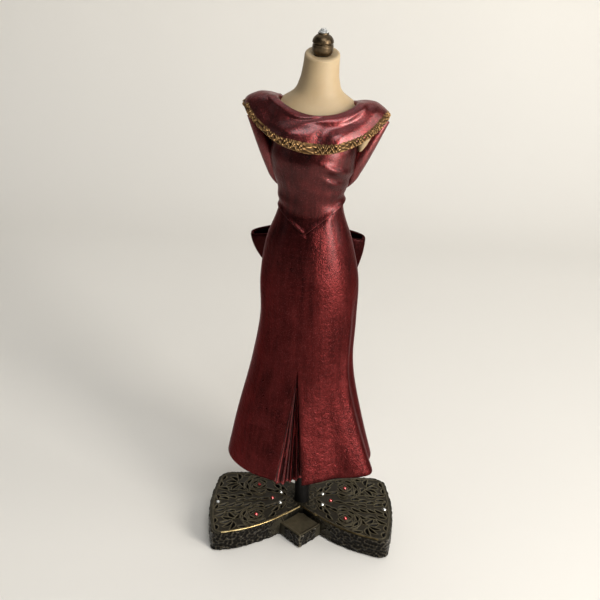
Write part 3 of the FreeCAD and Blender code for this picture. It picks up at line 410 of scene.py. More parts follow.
CLEAR = speckled("clear_stone", FOIL, (0.38, (0.26, 0.27, 0.26)), (0.60, (0.70, 0.71, 0.70)), **GLASS)
FELT = finish("black_felt", FUZZ, FELT_SHADES, (0.95, 0.95), (FUZZ, 0.6, 0.0005), Sheen_Weight=0.3)
PLATE = finish("scroll_plate", (170.0, 5.0, 0.65, 0.4), PLATE_SHADE_AND_WEAR, (0.30, 0.46), ((620.0,), 0.3, 0.0003),
               plate_level, (0.45, (0.005, 0.004, 0.003)), Metallic=0.4, Specular_IOR_Level=0.16)
# The right bead is given a darker, rougher copy of the gilt than the left one
DULL_GILT = rubbed_metal("dull_gilt", (0.05, 0.034, 0.012), (0.20, 0.15, 0.07), 0.34)


for node, material in {
    "base_casting": GROUND, "rim_bead_left": GILT, "rim_bead_right": DULL_GILT, "red_stones": RED,
    "clear_stones": CLEAR, "felt_pad": FELT, "post": BLACK, "tie_rod": STEEL, "base_nut": STEEL,
    "base_washer": STEEL, "thrust_washer": BRASS, "lower_bush": BRASS, "upper_bush": BRASS,
    "finial_crystal": CLEAR,
}.items():
    paint(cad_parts[node], material)


# Skirt: one sheet from lip to lip of the slit, with its hem rolled under and its floor closed
FOLDS_TOP, FOLDS_FALL, LIP_OPENING = 150.0, 100.0, 1.5
RIDGE_TOP, RIDGE_FALL = 165.0, 60.0
# Lengthways folds as lift, angle and spread: from the slit's right lip, and from the fold of the right side
LIP_FOLDS = ((2.0, 0.0, 0.15), (-1.8, 0.52, 0.19), (0.8, TAU - 0.34, 0.12))
RIDGE_FOLDS = ((1.4, 0.0, 0.11), (-1.5, 0.28, 0.13))
BACK_WAVES = ((0.45, 7, 0.8), (0.3, 13, 2.0))


def slit_half(z):
    return 0.5 * SLIT_WIDTH * unit(1 - (z - HEM) / SLIT_HEIGHT)


def ridges(theta, start, folds):
    """Sum of lengthways folds at angles from a start."""
    return sum(lift * bell(theta, start + angle, spread) for lift, angle, spread in folds)


def skirt_relief(theta, z):
    """Folds that grow towards the hem, the slit's rounded lips and the ridge of the right side."""
    low = unit((FOLDS_TOP - z) / FOLDS_FALL)
    opened = unit(slit_half(z) / LIP_OPENING)
    lips = ridges(theta, front_angle(SLIT_X + slit_half(z), z), LIP_FOLDS)
    behind = waves(theta, BACK_WAVES) * unit(sin(theta) + 0.2)
    swept = unit((RIDGE_TOP - z) / RIDGE_FALL) * ridges(theta, FOLD_ANGLE, RIDGE_FOLDS)
    return low * (opened * lips + behind) + swept + 0.12 * sin(9 * theta + 0.05 * z)


def skirt_piece():
    columns, rows = 360, 150
    radius, turns, floor = 1.6, (90, 60, 30), (0.12, 0.5, 0.8, 0.985)
    sink, span, crowding = 0.6, 1.3, 0.9
    u = shares(columns)
    top = seam_height(front_angle(SLIT_X, WAIST) + u * TAU)
    grid = []
    for v in shares(rows) ** crowding:
        z = HEM + radius + v * (top - HEM - radius)
        right, left = (front_angle(SLIT_X + side * slit_half(z), z) for side in (1, -1))
        theta = right + u * (left + TAU - right)
        lift = skirt_relief(theta, z) - sink * bell(z, top, span)
        points = gown_surface(theta, z) + outward(theta, lift)
        if v == 0:
            for roll in radians(turns):
                lower = points - outward(theta, radius * (1 - cos(roll)))
                lower[:, 2] = HEM + radius * (1 - sin(roll))
                grid.append(lower)
        grid.append(points)
    grid = np.array([grid[0] * [share, share, 1] for share in floor] + grid)
    walls = []
    for column in (0, -1):
        wall = grid[:, column].copy()
        wall[:, 1] += SLIT_DEPTH * slit_half(wall[:, 2]) / (0.5 * SLIT_WIDTH)
        walls.append(wall[:, None])
    grid = np.concatenate([walls[0], grid, walls[1]], axis=1)
    return weld(surface("skirt_gown", grid, GOWN_PAINT))


settle(skirt_piece(), "form", "gown_resin", "skirt")


def pleat_piece():
    """Thin pleats that rise out of the left panel and sink into the slit towards its right lip."""
    columns, rows = 201, 72
    reach, count, skew, top = 5.2, 4.6, 0.66, 0.97
    foot, lap, ground, crest = 0.4, 0.2, 0.15, 1.7
    depth, valley, opening, start, bury = 5.2, 3.0, 0.25, 0.10, 0.1
    underside = [0.0, 3.0, 0.3]
    s = shares(columns)
    turn = (count * s) % 1
    pleats = np.minimum(turn / skew, (1 - turn) / (1 - skew))
    grid = []
    for v in np.linspace(0, top, rows):
        z = np.full(columns, HEM + foot + v * SLIT_HEIGHT)
        half = slit_half(z) + lap
        left = SLIT_X - half - reach * (1 - v) ** 1.3
        x = left + (SLIT_X + half - left) * s
        theta = front_angle(x, z)
        inside = unit((x - SLIT_X + half) / (2 * half))
        opened = unit(inside / opening)
        rise = unit(s / start) * (ground + (1 - v) ** 0.7 * crest * pleats) - bury
        sink = (1 - v) ** 0.8 * (depth * inside ** 2 + valley * (1 - pleats))
        lift = (skirt_relief(theta + TAU, z) + rise) * (1 - opened)
        face = gown_surface(theta, z) + outward(theta, lift)
        face[:, 1] += sink * opened
        grid.append(face)
    grid.insert(0, grid[0] + underside)
    # Painted highlights on the pleat edges and painted shade in their creases
    return surface("pleats", grid, PLEAT_PAINTED_LIGHT)


settle(pleat_piece(), "form", "gown_resin", "pleat_insert")


# Pulls of the bodice: lift, height, slope and where it is measured from, thickness, middle and reach sideways
PULLS = (
    (1.3, 233.0, 0.45, 6, 1.9, 9, 7),
    (-0.8, 228.5, 0.45, 6, 2.2, 9, 8),
    (0.9, 224.0, 0.35, 8, 2.0, 9, 5),
    (-0.6, 219.5, 0.2, 8, 2.2, 10, 6),
    (1.3, 208.5, -0.2, 14, 2.6, 16, 6),
    (-0.7, 214.0, -0.2, 14, 2.6, 15, 7),
    (0.6, 211.0, 0.3, -14, 2.4, -17, 7),
)


def bodice_piece():
    """Bodice that laps the skirt a little at the pointed seam, with the pulls of its drapery."""
    columns, rows = 260, 90
    lap, proud, lip, span = 0.4, 0.30, 0.85, 1.7
    turn, turn_share = 1.6, 0.012
    theta = around(columns) - pi
    seam = seam_height(theta)
    grid = []
    for v in shares(rows):
        z = seam - lap + v * (CHEST - seam + lap)
        points = gown_surface(theta, z)
        x = points[:, 0]
        lift = proud + lip * bell(np.clip(z - seam, 0, None), 0, span)
        for pull, height, slope, pivot, thick, middle, reach in PULLS:
            lift += pull * bell(z - height + slope * (x - pivot), 0, thick) * bell(x, middle, reach)
        lift += 0.16 * sin(0.55 * z + 0.12 * x)
        lift -= turn * (1 - unit(v / turn_share))
        grid.append(points + outward(theta, lift))
    return surface("bodice_gown", grid, GOWN_PAINT, close=True)


settle(bodice_piece(), "form", "gown_resin", "bodice")


# Collar: drawn on its own rings between the neckline and the hem, both arcs in the front view
COLLAR_LEAN, COLLAR_TOP, COLLAR_TILT = -1.54, 267.4, radians(2.6)
COLLAR = np.array([
    (0.0, 239.80, 34.2, 28.1, 24.0),
    (1.0, 252.30, 37.4, 24.3, 22.1),
    (1.6, 258.20, 37.8, 19.4, 18.2),
    (2.1, 262.90, 35.4, 15.7, 14.9),
    (2.6, 265.70, 30.6, 12.5, 12.5),
    (3.1, 266.30, 25.0, 10.8, 10.8),
    (3.5, 265.40, 19.6, 9.6, 9.6),
])
COLLAR_HEM_LOW, COLLAR_HEM_RADIUS, COLLAR_BACK_DROP = 243.4, 54.0, 6.0
NECKLINE_LOW, NECKLINE_RADIUS = 260.4, 42.0
COLLAR_STEPS = 30
# Folds along the neckline: lift, place and spread down the fall, middle and reach sideways
ROLLS = ((0.9, 0.20, 0.09, 13.0, 9.0), (-0.7, 0.40, 0.10, 16.0, 9.0))
# Folds that hang across the fall: lift, place sideways, drift, width, then place and spread down the fall
FALLS = (
    (1.7, -13.0, 12, 6.0, 0.62, 0.34),
    (-1.6, 2.5, 7, 4.8, 0.64, 0.30),
    (1.0, 11.0, 4, 5.0, 0.70, 0.30),
    (-0.9, -26.0, -3, 4.5, 0.50, 0.34),
)


def tilted(points):
    """Points of the collar turned down a little on its right."""
    c, s = cos(COLLAR_TILT), sin(COLLAR_TILT)
    x, z = points[..., 0] - COLLAR_LEAN, points[..., 2] - COLLAR_TOP
    return joined(COLLAR_LEAN + c * x + s * z, points[..., 1], COLLAR_TOP - s * x + c * z)


def smile(x, low, radius):
    """Height of an arc in the front view, lowest in the middle."""
    return low + radius - np.sqrt(np.maximum(radius ** 2 - (x - COLLAR_LEAN) ** 2, 0))


def collar_ring(theta, place):
    """Points of the plain collar at an angle and a place on its section, from the hem up and in."""
    z, a, front, back = smooth_columns(COLLAR, place)
    depth = np.where(sin(theta) > 0, back, front)
    lower = COLLAR_BACK_DROP * unit(sin(theta)) * unit(place - 1)
    return joined(COLLAR_LEAN + a * cos(theta), depth * sin(theta), z - lower)


def collar_edge(theta, low, radius):
    """Places on the section at which the collar meets an arc of the front view."""
    below, above = np.zeros_like(theta), np.full_like(theta, COLLAR[-1, 0])
    for _ in range(COLLAR_STEPS):
        middle = 0.5 * (below + above)
        points = collar_ring(theta, middle)
        under = points[..., 2] < smile(points[..., 0], low, radius)
        below, above = np.where(under, middle, below), np.where(under, above, middle)
    return middle


def collar_folds(theta, v, x):
    """Height of the drapery over the plain collar, at shares v of its fall and places x sideways."""
    front = unit(-1.3 * sin(theta))
    side = np.abs(cos(theta)) ** 2
    tuck = 0.21 - 0.0145 * (x + 10)
    folds = 0.9 * bell(v, 0.10, 0.10) - bell(v, tuck, 0.05) * bell(x, -3.5, 7.5)
    for lift, place, spread, middle, reach in ROLLS:
        folds = folds + lift * bell(v, place, spread) * bell(x, middle, reach)
    for lift, across, drift, width, place, spread in FALLS:
        folds = folds + lift * bell(x - across + drift * (v - 0.5), 0, width) * bell(v, place, spread)
    behind = 0.7 * sin(10 * v + 1.5 * cos(2 * theta)) * unit(sin(theta))
    return folds * front + 0.3 * sin(13 * v + 2.5 * cos(theta)) * side + behind


def collar_surface(theta, v):
    """Points at an angle and a share of the fall from neckline to hem, with the drapery."""
    top = collar_edge(theta, NECKLINE_LOW, NECKLINE_RADIUS)
    hem = collar_edge(theta, COLLAR_HEM_LOW, COLLAR_HEM_RADIUS)
    plain = collar_ring(theta, top + v * (hem - top))
    return tilted(plain + outward(theta, collar_folds(theta, v, plain[..., 0])))


def collar_piece():
    columns, rows = 320, 56
    reach, drop, swell, turns = 3.4, 3.6, 0.35, (0.0, 0.35, 0.7)
    wall, tuck, lining = 1.2, 0.3, 8
    theta = around(columns)
    edge = collar_surface(theta, np.zeros(columns))
    grid = []
    for turn in turns:
        rim = edge - outward(theta, reach * (1 - turn))
        rim[:, 2] -= drop * (1 - turn) ** 2 - swell * sin(pi * turn)
        grid.append(rim)
    grid += [collar_surface(theta, np.full(columns, v)) for v in shares(rows)]
    under = grid[-1] - outward(theta, wall)
    under[:, 2] -= tuck
    grid += [under, grid[-lining] - outward(theta, 2 * wall)]
    # The collar's paint is a lighter copy of the gown's: painted highlight and sheen
    return surface("collar_drape", grid, GOWN_PAINTED_HIGHLIGHT, close=True)


settle(collar_piece(), "form", "gown_resin", "collar")


def braid_piece():
    """Braid along the collar's hem: two leafy strands that cross over each other."""
    columns, rows = 1500, 19
    width, pitch, share, embed = 5.2, 9.4, 0.66, 1.8
    swing, strand, leaf_swing, leaf = 0.50, 0.26, 0.55, 0.30
    ground, lift, most, edge = 0.25, 0.95, 1.5, 0.16
    drift, ragged = ((0.9, 9, 0.0), (0.7, 14, 1.0)), ((0.10, 3, 0.0), (0.06, 7, 1.0))
    theta = around(columns)
    hem = collar_surface(theta, np.ones(columns))
    upper = collar_surface(theta, np.full(columns, share))
    along = run_of(hem)
    even = TAU * along / (along[-1] + along[1])
    turns = round(along[-1] / pitch) * even + waves(even, drift)
    fuller = 1 + 0.35 * sin(23 * even) * sin(11 * even + 2)
    reach = np.minimum(width / np.linalg.norm(upper - hem, axis=1), 1.0)
    first, second = swing * sin(turns), -swing * sin(turns + 0.35)
    over = 0.5 + 0.5 * cos(turns)
    rag = waves(turns, ragged)
    grid = []
    for w in shares(rows):
        s = 2 * w - 1
        strands = bell(s, first, strand) * (0.75 + 0.5 * over)
        strands += bell(s, second, strand) * (1.25 - 0.5 * over)
        leaves = bell(s, leaf_swing * cos(2 * turns + 0.5), leaf) * 0.75 * fuller
        veins = 0.76 + 0.24 * cos(6 * turns + 9 * s)
        height = ground + lift * np.minimum((strands + leaves) * veins, most)
        height *= unit((1 + rag - abs(s)) / edge) ** 0.6
        foot = hem + (upper - hem) * (reach * (1.04 * w - 0.02))[:, None]
        grid.append(foot + outward(theta, height))
    grid.insert(0, grid[0] - outward(theta, embed))
    return surface("braid", grid, BRAID, close=True)


settle(braid_piece(), "form", "braid_gilt", "braid_trim")

# Bust form: shoulders and neck, cut off on a slant and dished, with the stubs of the arms
# Rings from the shoulders up: height, half width, depth to the front, depth to the back, sideways shift
BUST_RINGS = np.array([
    (252.5, 26.6, 18.5, 11.5, -2.2),
    (257.0, 25.4, 16.6, 11.4, -2.2),
    (264.0, 19.2, 12.0, 10.8, -1.8),
    (268.5, 12.9, 10.2, 10.2, -1.32),
    (274.5, 10.2, 9.7, 9.7, -0.88),
    (281.0, 9.3, 9.1, 9.1, -0.44),
    (288.0, 8.9, 8.9, 8.9, 0.0),
])
# Rim and dish of the neck as share of its radius and drop under its top
NECK_DISH = ((0.985, 0.45), (0.94, 0.1), (0.88, 0.0), (0.80, 0.10), (0.62, 0.75), (0.42, 1.35), (0.27, 1.6))
# Rings of an arm's stub as share of its height and of its oval
STUB_RINGS = ((0.0, 0.03), (0.0, 0.18), (0.04, 0.27), (0.25, 0.58), (0.5, 0.85), (0.75, 1.0), (1.0, 1.0))
STUB_CAP = ((255.0, 1.0), (255.6, 0.03))
STUB_FEET = {1: 237.5, -1: 250.0}


def bust_piece():
    columns, rows = 160, 64
    slant_start, rounding, neck = 276.0, 0.9, BUST_RINGS[-1, 1]
    ring = outward(around(columns))
    grid = []
    for z in np.linspace(BUST_RINGS[0, 0], NECK_TOP - rounding, rows):
        half, front, back, shift = smooth_columns(BUST_RINGS, z)
        points = ring * [half, back, 0] + [shift, 0, z]
        points[:, 1] *= np.where(points[:, 1] < 0, front / back, 1.0)
        cut = unit((z - slant_start) / (NECK_TOP - slant_start)) ** 2
        points[:, 2] += NECK_SLANT * points[:, 1] * cut
        grid.append(points)
    for share, drop in NECK_DISH:
        points = ring * neck * share + [0, 0, NECK_TOP - drop]
        points[:, 2] += NECK_SLANT * points[:, 1] * unit((share - 0.2) / 0.6)
        grid.append(points)
    return surface("bust_neck", grid, IVORY, close=True)


def arm_stub(side, label):
    """Stub of an arm beside the bodice, oval, narrowing inwards to a rounded end."""
    out, lean, shift, y, top, size = 26.8, 2.6, -2.2, 0.4, 252.0, [3.9, 6.0, 0.0]
    foot = STUB_FEET[side]
    oval = outward(around(56)) * size
    rows = []
    for level, share in STUB_RINGS:
        x = side * (out - lean * (1 - level) ** 1.5) + shift
        rows.append(oval * share + [x, y, foot + level * (top - foot)])
    rows += [oval * share + [side * out + shift, y, z] for z, share in STUB_CAP]
    return surface(f"arm_{label}", rows, IVORY, close=True)


settle(bust_piece(), "form", "ivory_resin", "bust_form")
for side, label in SIDES:
    settle(arm_stub(side, label), "form", "ivory_resin")


# Back drape: gathered panel from the collar's hem to the waist, with rolled side edges
DRAPE_FOOT, DRAPE_TOP = 217.0, 254.0
# Half width, depth and shift of the drape at its foot, and what each gains by its top
DRAPE_FORM = ((19.7, 16.8), (14.0, 1.2), (-2.2, 1.6))
DRAPE_WALL, DRAPE_BEVEL = 1.5, 0.5


def drape_grid():
    """Points of the gathered panel, row by row from its foot up to the collar's hem."""
    columns, rows = 220, 70
    proud, bead_rise, bead_angle = 1.2, 1.1, 0.11
    side, grow, rise, steps = 5.1, 1.5, 0.2, 3
    share = shares(columns)
    grid = []
    for v in shares(rows):
        z = np.full(columns, DRAPE_FOOT + v * (DRAPE_TOP - DRAPE_FOOT))
        for _ in range(steps):
            level = (z - DRAPE_FOOT) / (DRAPE_TOP - DRAPE_FOOT)
            half, back, shift = (foot + gain * level for foot, gain in DRAPE_FORM)
            start = np.arcsin(side / (back + grow))
            t = start + share * (pi - 2 * start)
            x = shift + (half + grow) * cos(t)
            hem = smile(x, COLLAR_HEM_LOW + rise, COLLAR_HEM_RADIUS)
            hem -= sin(COLLAR_TILT) * (x - COLLAR_LEAN)
            z = DRAPE_FOOT + v * (np.minimum(hem, DRAPE_TOP) - DRAPE_FOOT)
        edge = unit(np.minimum(t - start, pi - start - t) / bead_angle)
        bead = np.sqrt(unit(1 - (edge * 2 - 1) ** 2)) * (edge < 1)
        gather = 0.45 * sin(19 * t + 2.5 * v) * (1 - 0.6 * v) + 0.35 * sin(9 * t - 3 * v)
        wall = proud + gather * edge + bead_rise * bead
        grid.append(joined(shift + (half + wall) * cos(t), (back + wall) * sin(t), z))
    return np.array(grid)


def drape_roll(column, inwards, label):
    """Rolled side edge of the drape, full in its middle and drawn in at its foot."""
    radius, swell, foot, draw, drop = 1.55, 2.9, 0.22, 3.6, 2.0
    level = shares(len(DRAPE))
    ending = unit(1 - level / foot) ** 2
    thick = radius + swell * bell(level, 0.52, 0.34) + 0.2 * sin(9 * level) - 1.1 * ending
    full = np.clip(thick - radius, 0, None)
    shift = joined(inwards * (draw * ending + full), -0.6 - 0.75 * full, -drop * ending)
    # The roll takes the collar's lighter copy of the gown paint: painted highlight
    return tube(f"drape_roll_{label}", DRAPE[:, column] + shift, thick, GOWN_PAINTED_HIGHLIGHT)


DRAPE = drape_grid()
panel = thickened(surface("back_panel", DRAPE, GOWN_PAINT), DRAPE_WALL, DRAPE_BEVEL)
settle(panel, "form", "gown_resin", "back_drape")
for column, inwards, label in ((0, -1, "right"), (-1, 1, "left")):
    settle(drape_roll(column, inwards, label), "form", "gown_resin")

# Bow at the back of the hips. Levels of a loop are shares of its height; reach and depth are shares at them.
BOW_X, BOW_Y, BOW_Z = -3.7, 31.1, 175.0
BOW_SPAN, BOW_DEPTH, TIE_HALF = 33.8, 7.0, 5.5
LOOP_FOOT, LOOP_END_Z, LOOP_SLOPE, LOOP_RECESS = 151.0, 176.3, tan(radians(12)), 6.0
LOOP_LEVELS = np.array([0.0, 0.76, 1.35])
LOOP_REACH = {1: (0.80, 0.99, 1.0), -1: (0.45, 0.93, 1.0)}
LOOP_DEPTHS = (0.45, 0.95, 1.0)
LOOP_LIPS = ((0.25, -0.25), (0.9, -0.4), (1.6, -0.2), (1.8, 0.5))
LOOP_FEET = ((2.2, -0.4), (1.2, 0.3))
LOOP_INSET, LOOP_LAP = 1.9, 0.6


def loop_ring(side, level, inset, columns):
    """Teardrop ring of a bow loop at a share of its height, inset by a wall."""
    level = min(level, LOOP_LEVELS[-1])
    bend = np.polyfit(LOOP_LEVELS, LOOP_REACH[side], 2)
    reach = np.polyval(bend, level) * (BOW_SPAN - TIE_HALF) - 2 * inset
    depth = np.polyval(np.polyfit(LOOP_LEVELS, LOOP_DEPTHS, 2), level) * BOW_DEPTH - inset
    turn = around(columns)
    out = 0.5 - 0.5 * cos(turn)
    swell = (0.42 + 0.58 * sin(0.5 * pi * unit(out / 0.6))) * np.sign(sin(turn))
    y = depth * swell * np.abs(sin(turn)) ** 0.55
    return TIE_HALF - LOOP_LAP + inset + out * reach, y, out


def bow_loop(side, name):
    """Drooping loop, open at its top, creased where it runs into the tie."""
    columns, rows, recess_rows = 150, 34, 6
    grid = []

    def add(level, inset, drop=0.0):
        x, y, out = loop_ring(side, level, inset, columns)
        top = LOOP_END_Z + (BOW_SPAN - x) * LOOP_SLOPE
        z = LOOP_FOOT + min(level, 1.0) * (top - LOOP_FOOT) - drop
        crease = 0.5 * cos(0.55 * (z - BOW_Z) + 1.0) * (1 - out) ** 1.5 + 0.25 * sin(0.35 * z + 5 * out)
        y = y + crease * np.sign(y) * (inset < 1)
        grid.append(joined(BOW_X + side * x, BOW_Y + y, z))

    for inset, drop in LOOP_FEET:
        add(0.0, inset, drop)
    for level in np.linspace(0.0, 0.985, rows):
        add(level, 0.0)
    for inset, drop in LOOP_LIPS:
        add(1.0, inset, drop)
    for drop in np.linspace(1.5, LOOP_RECESS, recess_rows):
        add(1.0, LOOP_INSET, drop)
    floor = grid[-1]
    middle = 0.5 * (floor + floor[-np.arange(columns)])
    grid += [0.5 * (floor + middle), middle]
    # The loop's paint is a darker copy of the gown's: painted shade
    return surface(name, np.array(grid)[:, ::-side], BOW_PAINTED_SHADE, close=True)


for side, label in SIDES:
    settle(bow_loop(side, f"bow_{label}"), "form", "gown_resin", f"bow_loop_{label}")


def bow_tie():
    """Wrapped tie over the pinch of the loops."""
    columns, rows = 96, 40
    depth, back, rise = 6.6, 0.4, 6.3
    t = around(columns)
    wide, deep = (np.sign(f(t)) * np.abs(f(t)) ** power for f, power in ((cos, 0.7), (sin, 0.8)))
    grid = []
    for v in np.linspace(-1, 1, rows):
        full = (1 - 0.22 * abs(v) ** 3) * (1 + 0.05 * cos(12 * v + 0.6 * sin(t)))
        x, y = BOW_X + TIE_HALF * wide * full, BOW_Y + back + depth * deep * full
        grid.append(joined(x, y, BOW_Z + v * rise))
    caps = [np.zeros_like(ring) + ring.mean(0) for ring in (grid[0], grid[-1])]
    return surface("bow_wrap", [caps[0], *grid, caps[1]], GOWN_PAINT, close=True)


settle(bow_tie(), "form", "gown_resin", "bow_tie")


def bow_tail(side, name):
    """Notched tail that lies down the back of the skirt in two soft folds."""
    columns, rows = 36, 70
    top, length, splay, gap = BOW_Z - 6.0, 52.0, tan(radians(9)), 0.5
    width, widening, notch, start = 5.0, 7.0, 4.8, 0.8
    rise, fold, wall, bevel = 1.6, 0.5, 1.2, 0.3
    s = shares(columns)
    grid = []
    for v in shares(rows):
        x = BOW_X + side * (gap + v * length * splay + (width + widening * v) * s)
        notched = unit((v - start) / (1 - start))
        z = top - v * length + notch * (1 - np.abs(2 * s - 1)) * notched
        theta = -front_angle(x, z)
        lift = rise + fold * cos(2.2 * pi * s) * (0.4 + 0.6 * v)
        grid.append(gown_surface(theta, z) + outward(theta, lift))
    return thickened(surface(name, np.array(grid)[:, ::-side], GOWN_PAINT), wall, bevel)


for side, label in SIDES:
    settle(bow_tail(side, f"tail_{label}"), "form", "gown_resin", f"bow_tail_{label}")


# Finial: bowl, reeded ring and dome, with a setting round the crystal, as radius and height over its foot
DISH_DEPTH, FINIAL_SEAT = 1.8, 0.4
FINIAL_FOOT = NECK_TOP - DISH_DEPTH + FINIAL_SEAT
FINIAL_RINGS = ((5.35, 4.0), (5.42, 4.5), (5.35, 4.9), (5.05, 5.05), (5.3, 5.25),
                (5.3, 5.55), (4.9, 5.75), (4.65, 6.0), (4.75, 6.25), (5.3, 6.4))
FINIAL_CROWN = ((2.75, 10.9), (2.8, 11.3), (2.55, 11.45), (2.3, 11.2), (0.4, 11.15))


def finial_piece():
    neck, bulge, height = 2.8, 2.5, 3.7
    radius, foot, rise = 5.45, 6.6, 4.6
    bowl = [(0.6, 0.0), (2.6, 0.0)]
    bowl += [(neck + bulge * sin(a), height * (1 - cos(a))) for a in np.linspace(0.1, pi / 2, 10)]
    dome = [(radius * cos(a), foot + rise * sin(a)) for a in np.linspace(0.0, 1.06, 18)]
    ring = outward(around(96))
    grid = [ring * r + [0, 0, FINIAL_FOOT + z] for r, z in (*bowl, *FINIAL_RINGS, *dome, *FINIAL_CROWN)]
    return surface("finial_turned", grid, BRONZE, close=True)


settle(finial_piece(), "finial", "bronze", "finial")

# Base: hammered walls round both wings and the front knot, and the scrollwork set into the tops
WING = dict(length=55.5, end=30.5, middle=23.5, waist=9.5, corner=6.0, middle_share=0.36, bulge_share=0.05)
WING_SLANT, WING_START = tan(radians(11)), 6.0
DIMPLE_AREA, DIMPLE_RADIUS, FAR = 2.6, 1.5, 9.0
KNOT_HALF, KNOT_BACK, KNOT_REACH, KNOT_TOP, KNOT_STEP = 9.0, 22.5, 31.5, 8.5, 0.42
WALL_SEED, KNOT_SEED = 3, 11


def wing_place(side, along, across):
    """Plan points of a wing, which slants to the front."""
    return joined(side * along, 0.25 * WING["waist"] - WING_SLANT * along + across)


def wing_end(inset):
    """Length of a wing's side, then its whole length, the bulge of its end and its corner radius."""
    length = WING["length"] - inset
    bulge, corner = WING["bulge_share"] * length, WING["corner"] - 0.5 * inset
    return length - bulge - corner, length, bulge, corner


def wing_edge(along, inset):
    """Half width of a wing, on a curve through its waist, middle and end."""
    shoulder = wing_end(inset)[0]
    u, m = along / shoulder, WING["middle_share"] * WING["length"] / shoulder
    waist, middle, end = (WING[key] - inset for key in ("waist", "middle", "end"))
    curve = (middle - waist - (end - waist) * m) / (m * (1 - m))
    return waist + (end - waist) * u + curve * u * (1 - u)


def evenly(points, step):
    """Points spaced evenly along a path, and the run of each."""
    run = run_of(points)
    even = np.linspace(0, run[-1], int(run[-1] / step))
    return joined(*(np.interp(even, run, column) for column in points.T)), even


def wing_path(inset, start, step=0.33):
    """Even points (along, across) round a wing from the front of its waist to the back, and their run."""
    shoulder, length, bulge, corner = wing_end(inset)
    flat = WING["end"] - inset - corner
    along = np.linspace(start, shoulder, 80)
    side = joined(along, -wing_edge(along, inset))
    turn = np.linspace(-pi / 2, 0, 16)[1:]
    tip = joined(shoulder + corner * cos(turn), corner * sin(turn) - flat)
    across = np.linspace(-flat, 0, 40)[1:]
    end = joined(length - bulge * (across / flat) ** 2, across)
    half = np.concatenate([side, tip, end])
    return evenly(np.concatenate([half, (half * [1, -1])[::-1][1:]]), step)


def right_of(path):
    """Unit vectors to the right along a path in plan."""
    tangent = np.gradient(path, axis=0)
    return directions(joined(tangent[:, 1], -tangent[:, 0]))


def hammer(run, z, seed):
    """How far the points of a wall stand out of its hammered dimples, by run and height: 0 to 1."""
    spots = np.random.default_rng(seed)
    height = CASTING_TOP - CASTING_FOOT
    count = int(run.max() * height / DIMPLE_AREA)
    centres = joined(spots.uniform(0, run.max(), count), spots.uniform(0, height, count))
    nearest = np.full((len(z), len(run)), FAR)
    for c in centres:
        nearest = np.minimum(nearest, np.hypot(run[None, :] - c[0], z[:, None] - c[1]))
    return unit(nearest / DIMPLE_RADIUS) ** 2


def hammered_wall(name, plan, run, seed, top):
    """Wall from the casting's foot that follows a plan path, dimpled, with a soft upper edge."""
    rows, proud, relief, rounding, edge = 38, 0.12, 0.55, 0.25, 0.93
    z = np.linspace(CASTING_FOOT, top, rows)
    normal = right_of(plan)
    grid = []
    for share, height, dents in zip(shares(rows), z, hammer(run, z - CASTING_FOOT, seed)):
        round_in = rounding * unit((share - edge) / (1 - edge)) ** 2
        push = proud + relief * dents - round_in
        grid.append(joined(*(plan + normal * push[:, None]).T, height))
    return surface(name, grid, HAMMERED)


for side, label in SIDES:
    path, run = wing_path(0.0, WING_START)
    plan = wing_place(side, *path.T)[::side]
    wall = hammered_wall(f"wall_{label}", plan, run, WALL_SEED + side, CASTING_TOP)
    settle(wall, "base", "antique_metal")

knot_line, knot_run = evenly(
    np.array([(-KNOT_HALF, -KNOT_BACK), (0.0, -KNOT_REACH), (KNOT_HALF, -KNOT_BACK)]), KNOT_STEP)
settle(hammered_wall("wall_knot", knot_line, knot_run, KNOT_SEED, KNOT_TOP), "base", "antique_metal")


def knot_top():
    """Lozenge on the knot with a raised border."""
    length, middle, spread, rise, proud, turn = 14.0, 0.91, 0.05, 0.5, 0.1, 0.96
    places = np.linspace(-1, 1, 61)
    s, t = np.meshgrid(places, places)
    edge = np.maximum(np.abs(s), np.abs(t))
    border = rise * (bell(edge, middle, spread) - unit((edge - turn) / (1 - turn)))
    y = length - KNOT_REACH + 0.5 * length * (s + t)
    grid = joined(0.5 * length * (s - t), y, KNOT_TOP + proud + border)
    return surface("knot_top", grid, PEWTER)


settle(knot_top(), "base", "antique_metal")


def circle(centre, radius, angle):
    """Plan points round a centre; the radius may change with the angle."""
    return joined(centre[0] + radius * cos(angle), centre[1] + radius * sin(angle))


def spiral(centre, start, turns, outer, inner, count=70):
    t = shares(count)
    return circle(centre, outer + (inner - outer) * t ** 0.8, radians(start) + turns * TAU * t)


# Section of a ridge: shares of its half width, and heights
RIDGE_EMBED, RIDGE_WIDTH, RIDGE_LIMITS = 0.05, 1.2, (0.45, 1.2)
RIDGE = ((-1.0, -0.8), (-0.9, -0.1), (-0.5, 0.24), (0.0, 0.34), (0.5, 0.24), (0.9, -0.1), (1.0, -0.8))


def stroke(path, widths, points, faces, side):
    """Adds a rounded ridge along a path of the wing, swelling and tapering with its widths."""
    normal = -right_of(path)
    width = np.interp(shares(len(path)), shares(len(widths)), widths)
    rows = []
    for share, height in RIDGE:
        place = path + normal * (0.5 * width * share)[:, None]
        lift = CASTING_TOP - RIDGE_EMBED + height * np.clip(width / RIDGE_WIDTH, *RIDGE_LIMITS)
        rows.append(joined(*wing_place(side, *place.T).T, lift))
    start, columns = len(points), len(RIDGE)
    points.extend(np.stack(rows, axis=1).reshape(-1, 3))
    faces.extend(grid_faces(len(path), columns, True, start))
    last = start + (len(path) - 1) * columns
    faces.extend([tuple(range(start, start + columns)), tuple(range(last, last + columns))])


SCROLL_STONE = (27.0, 15.0)
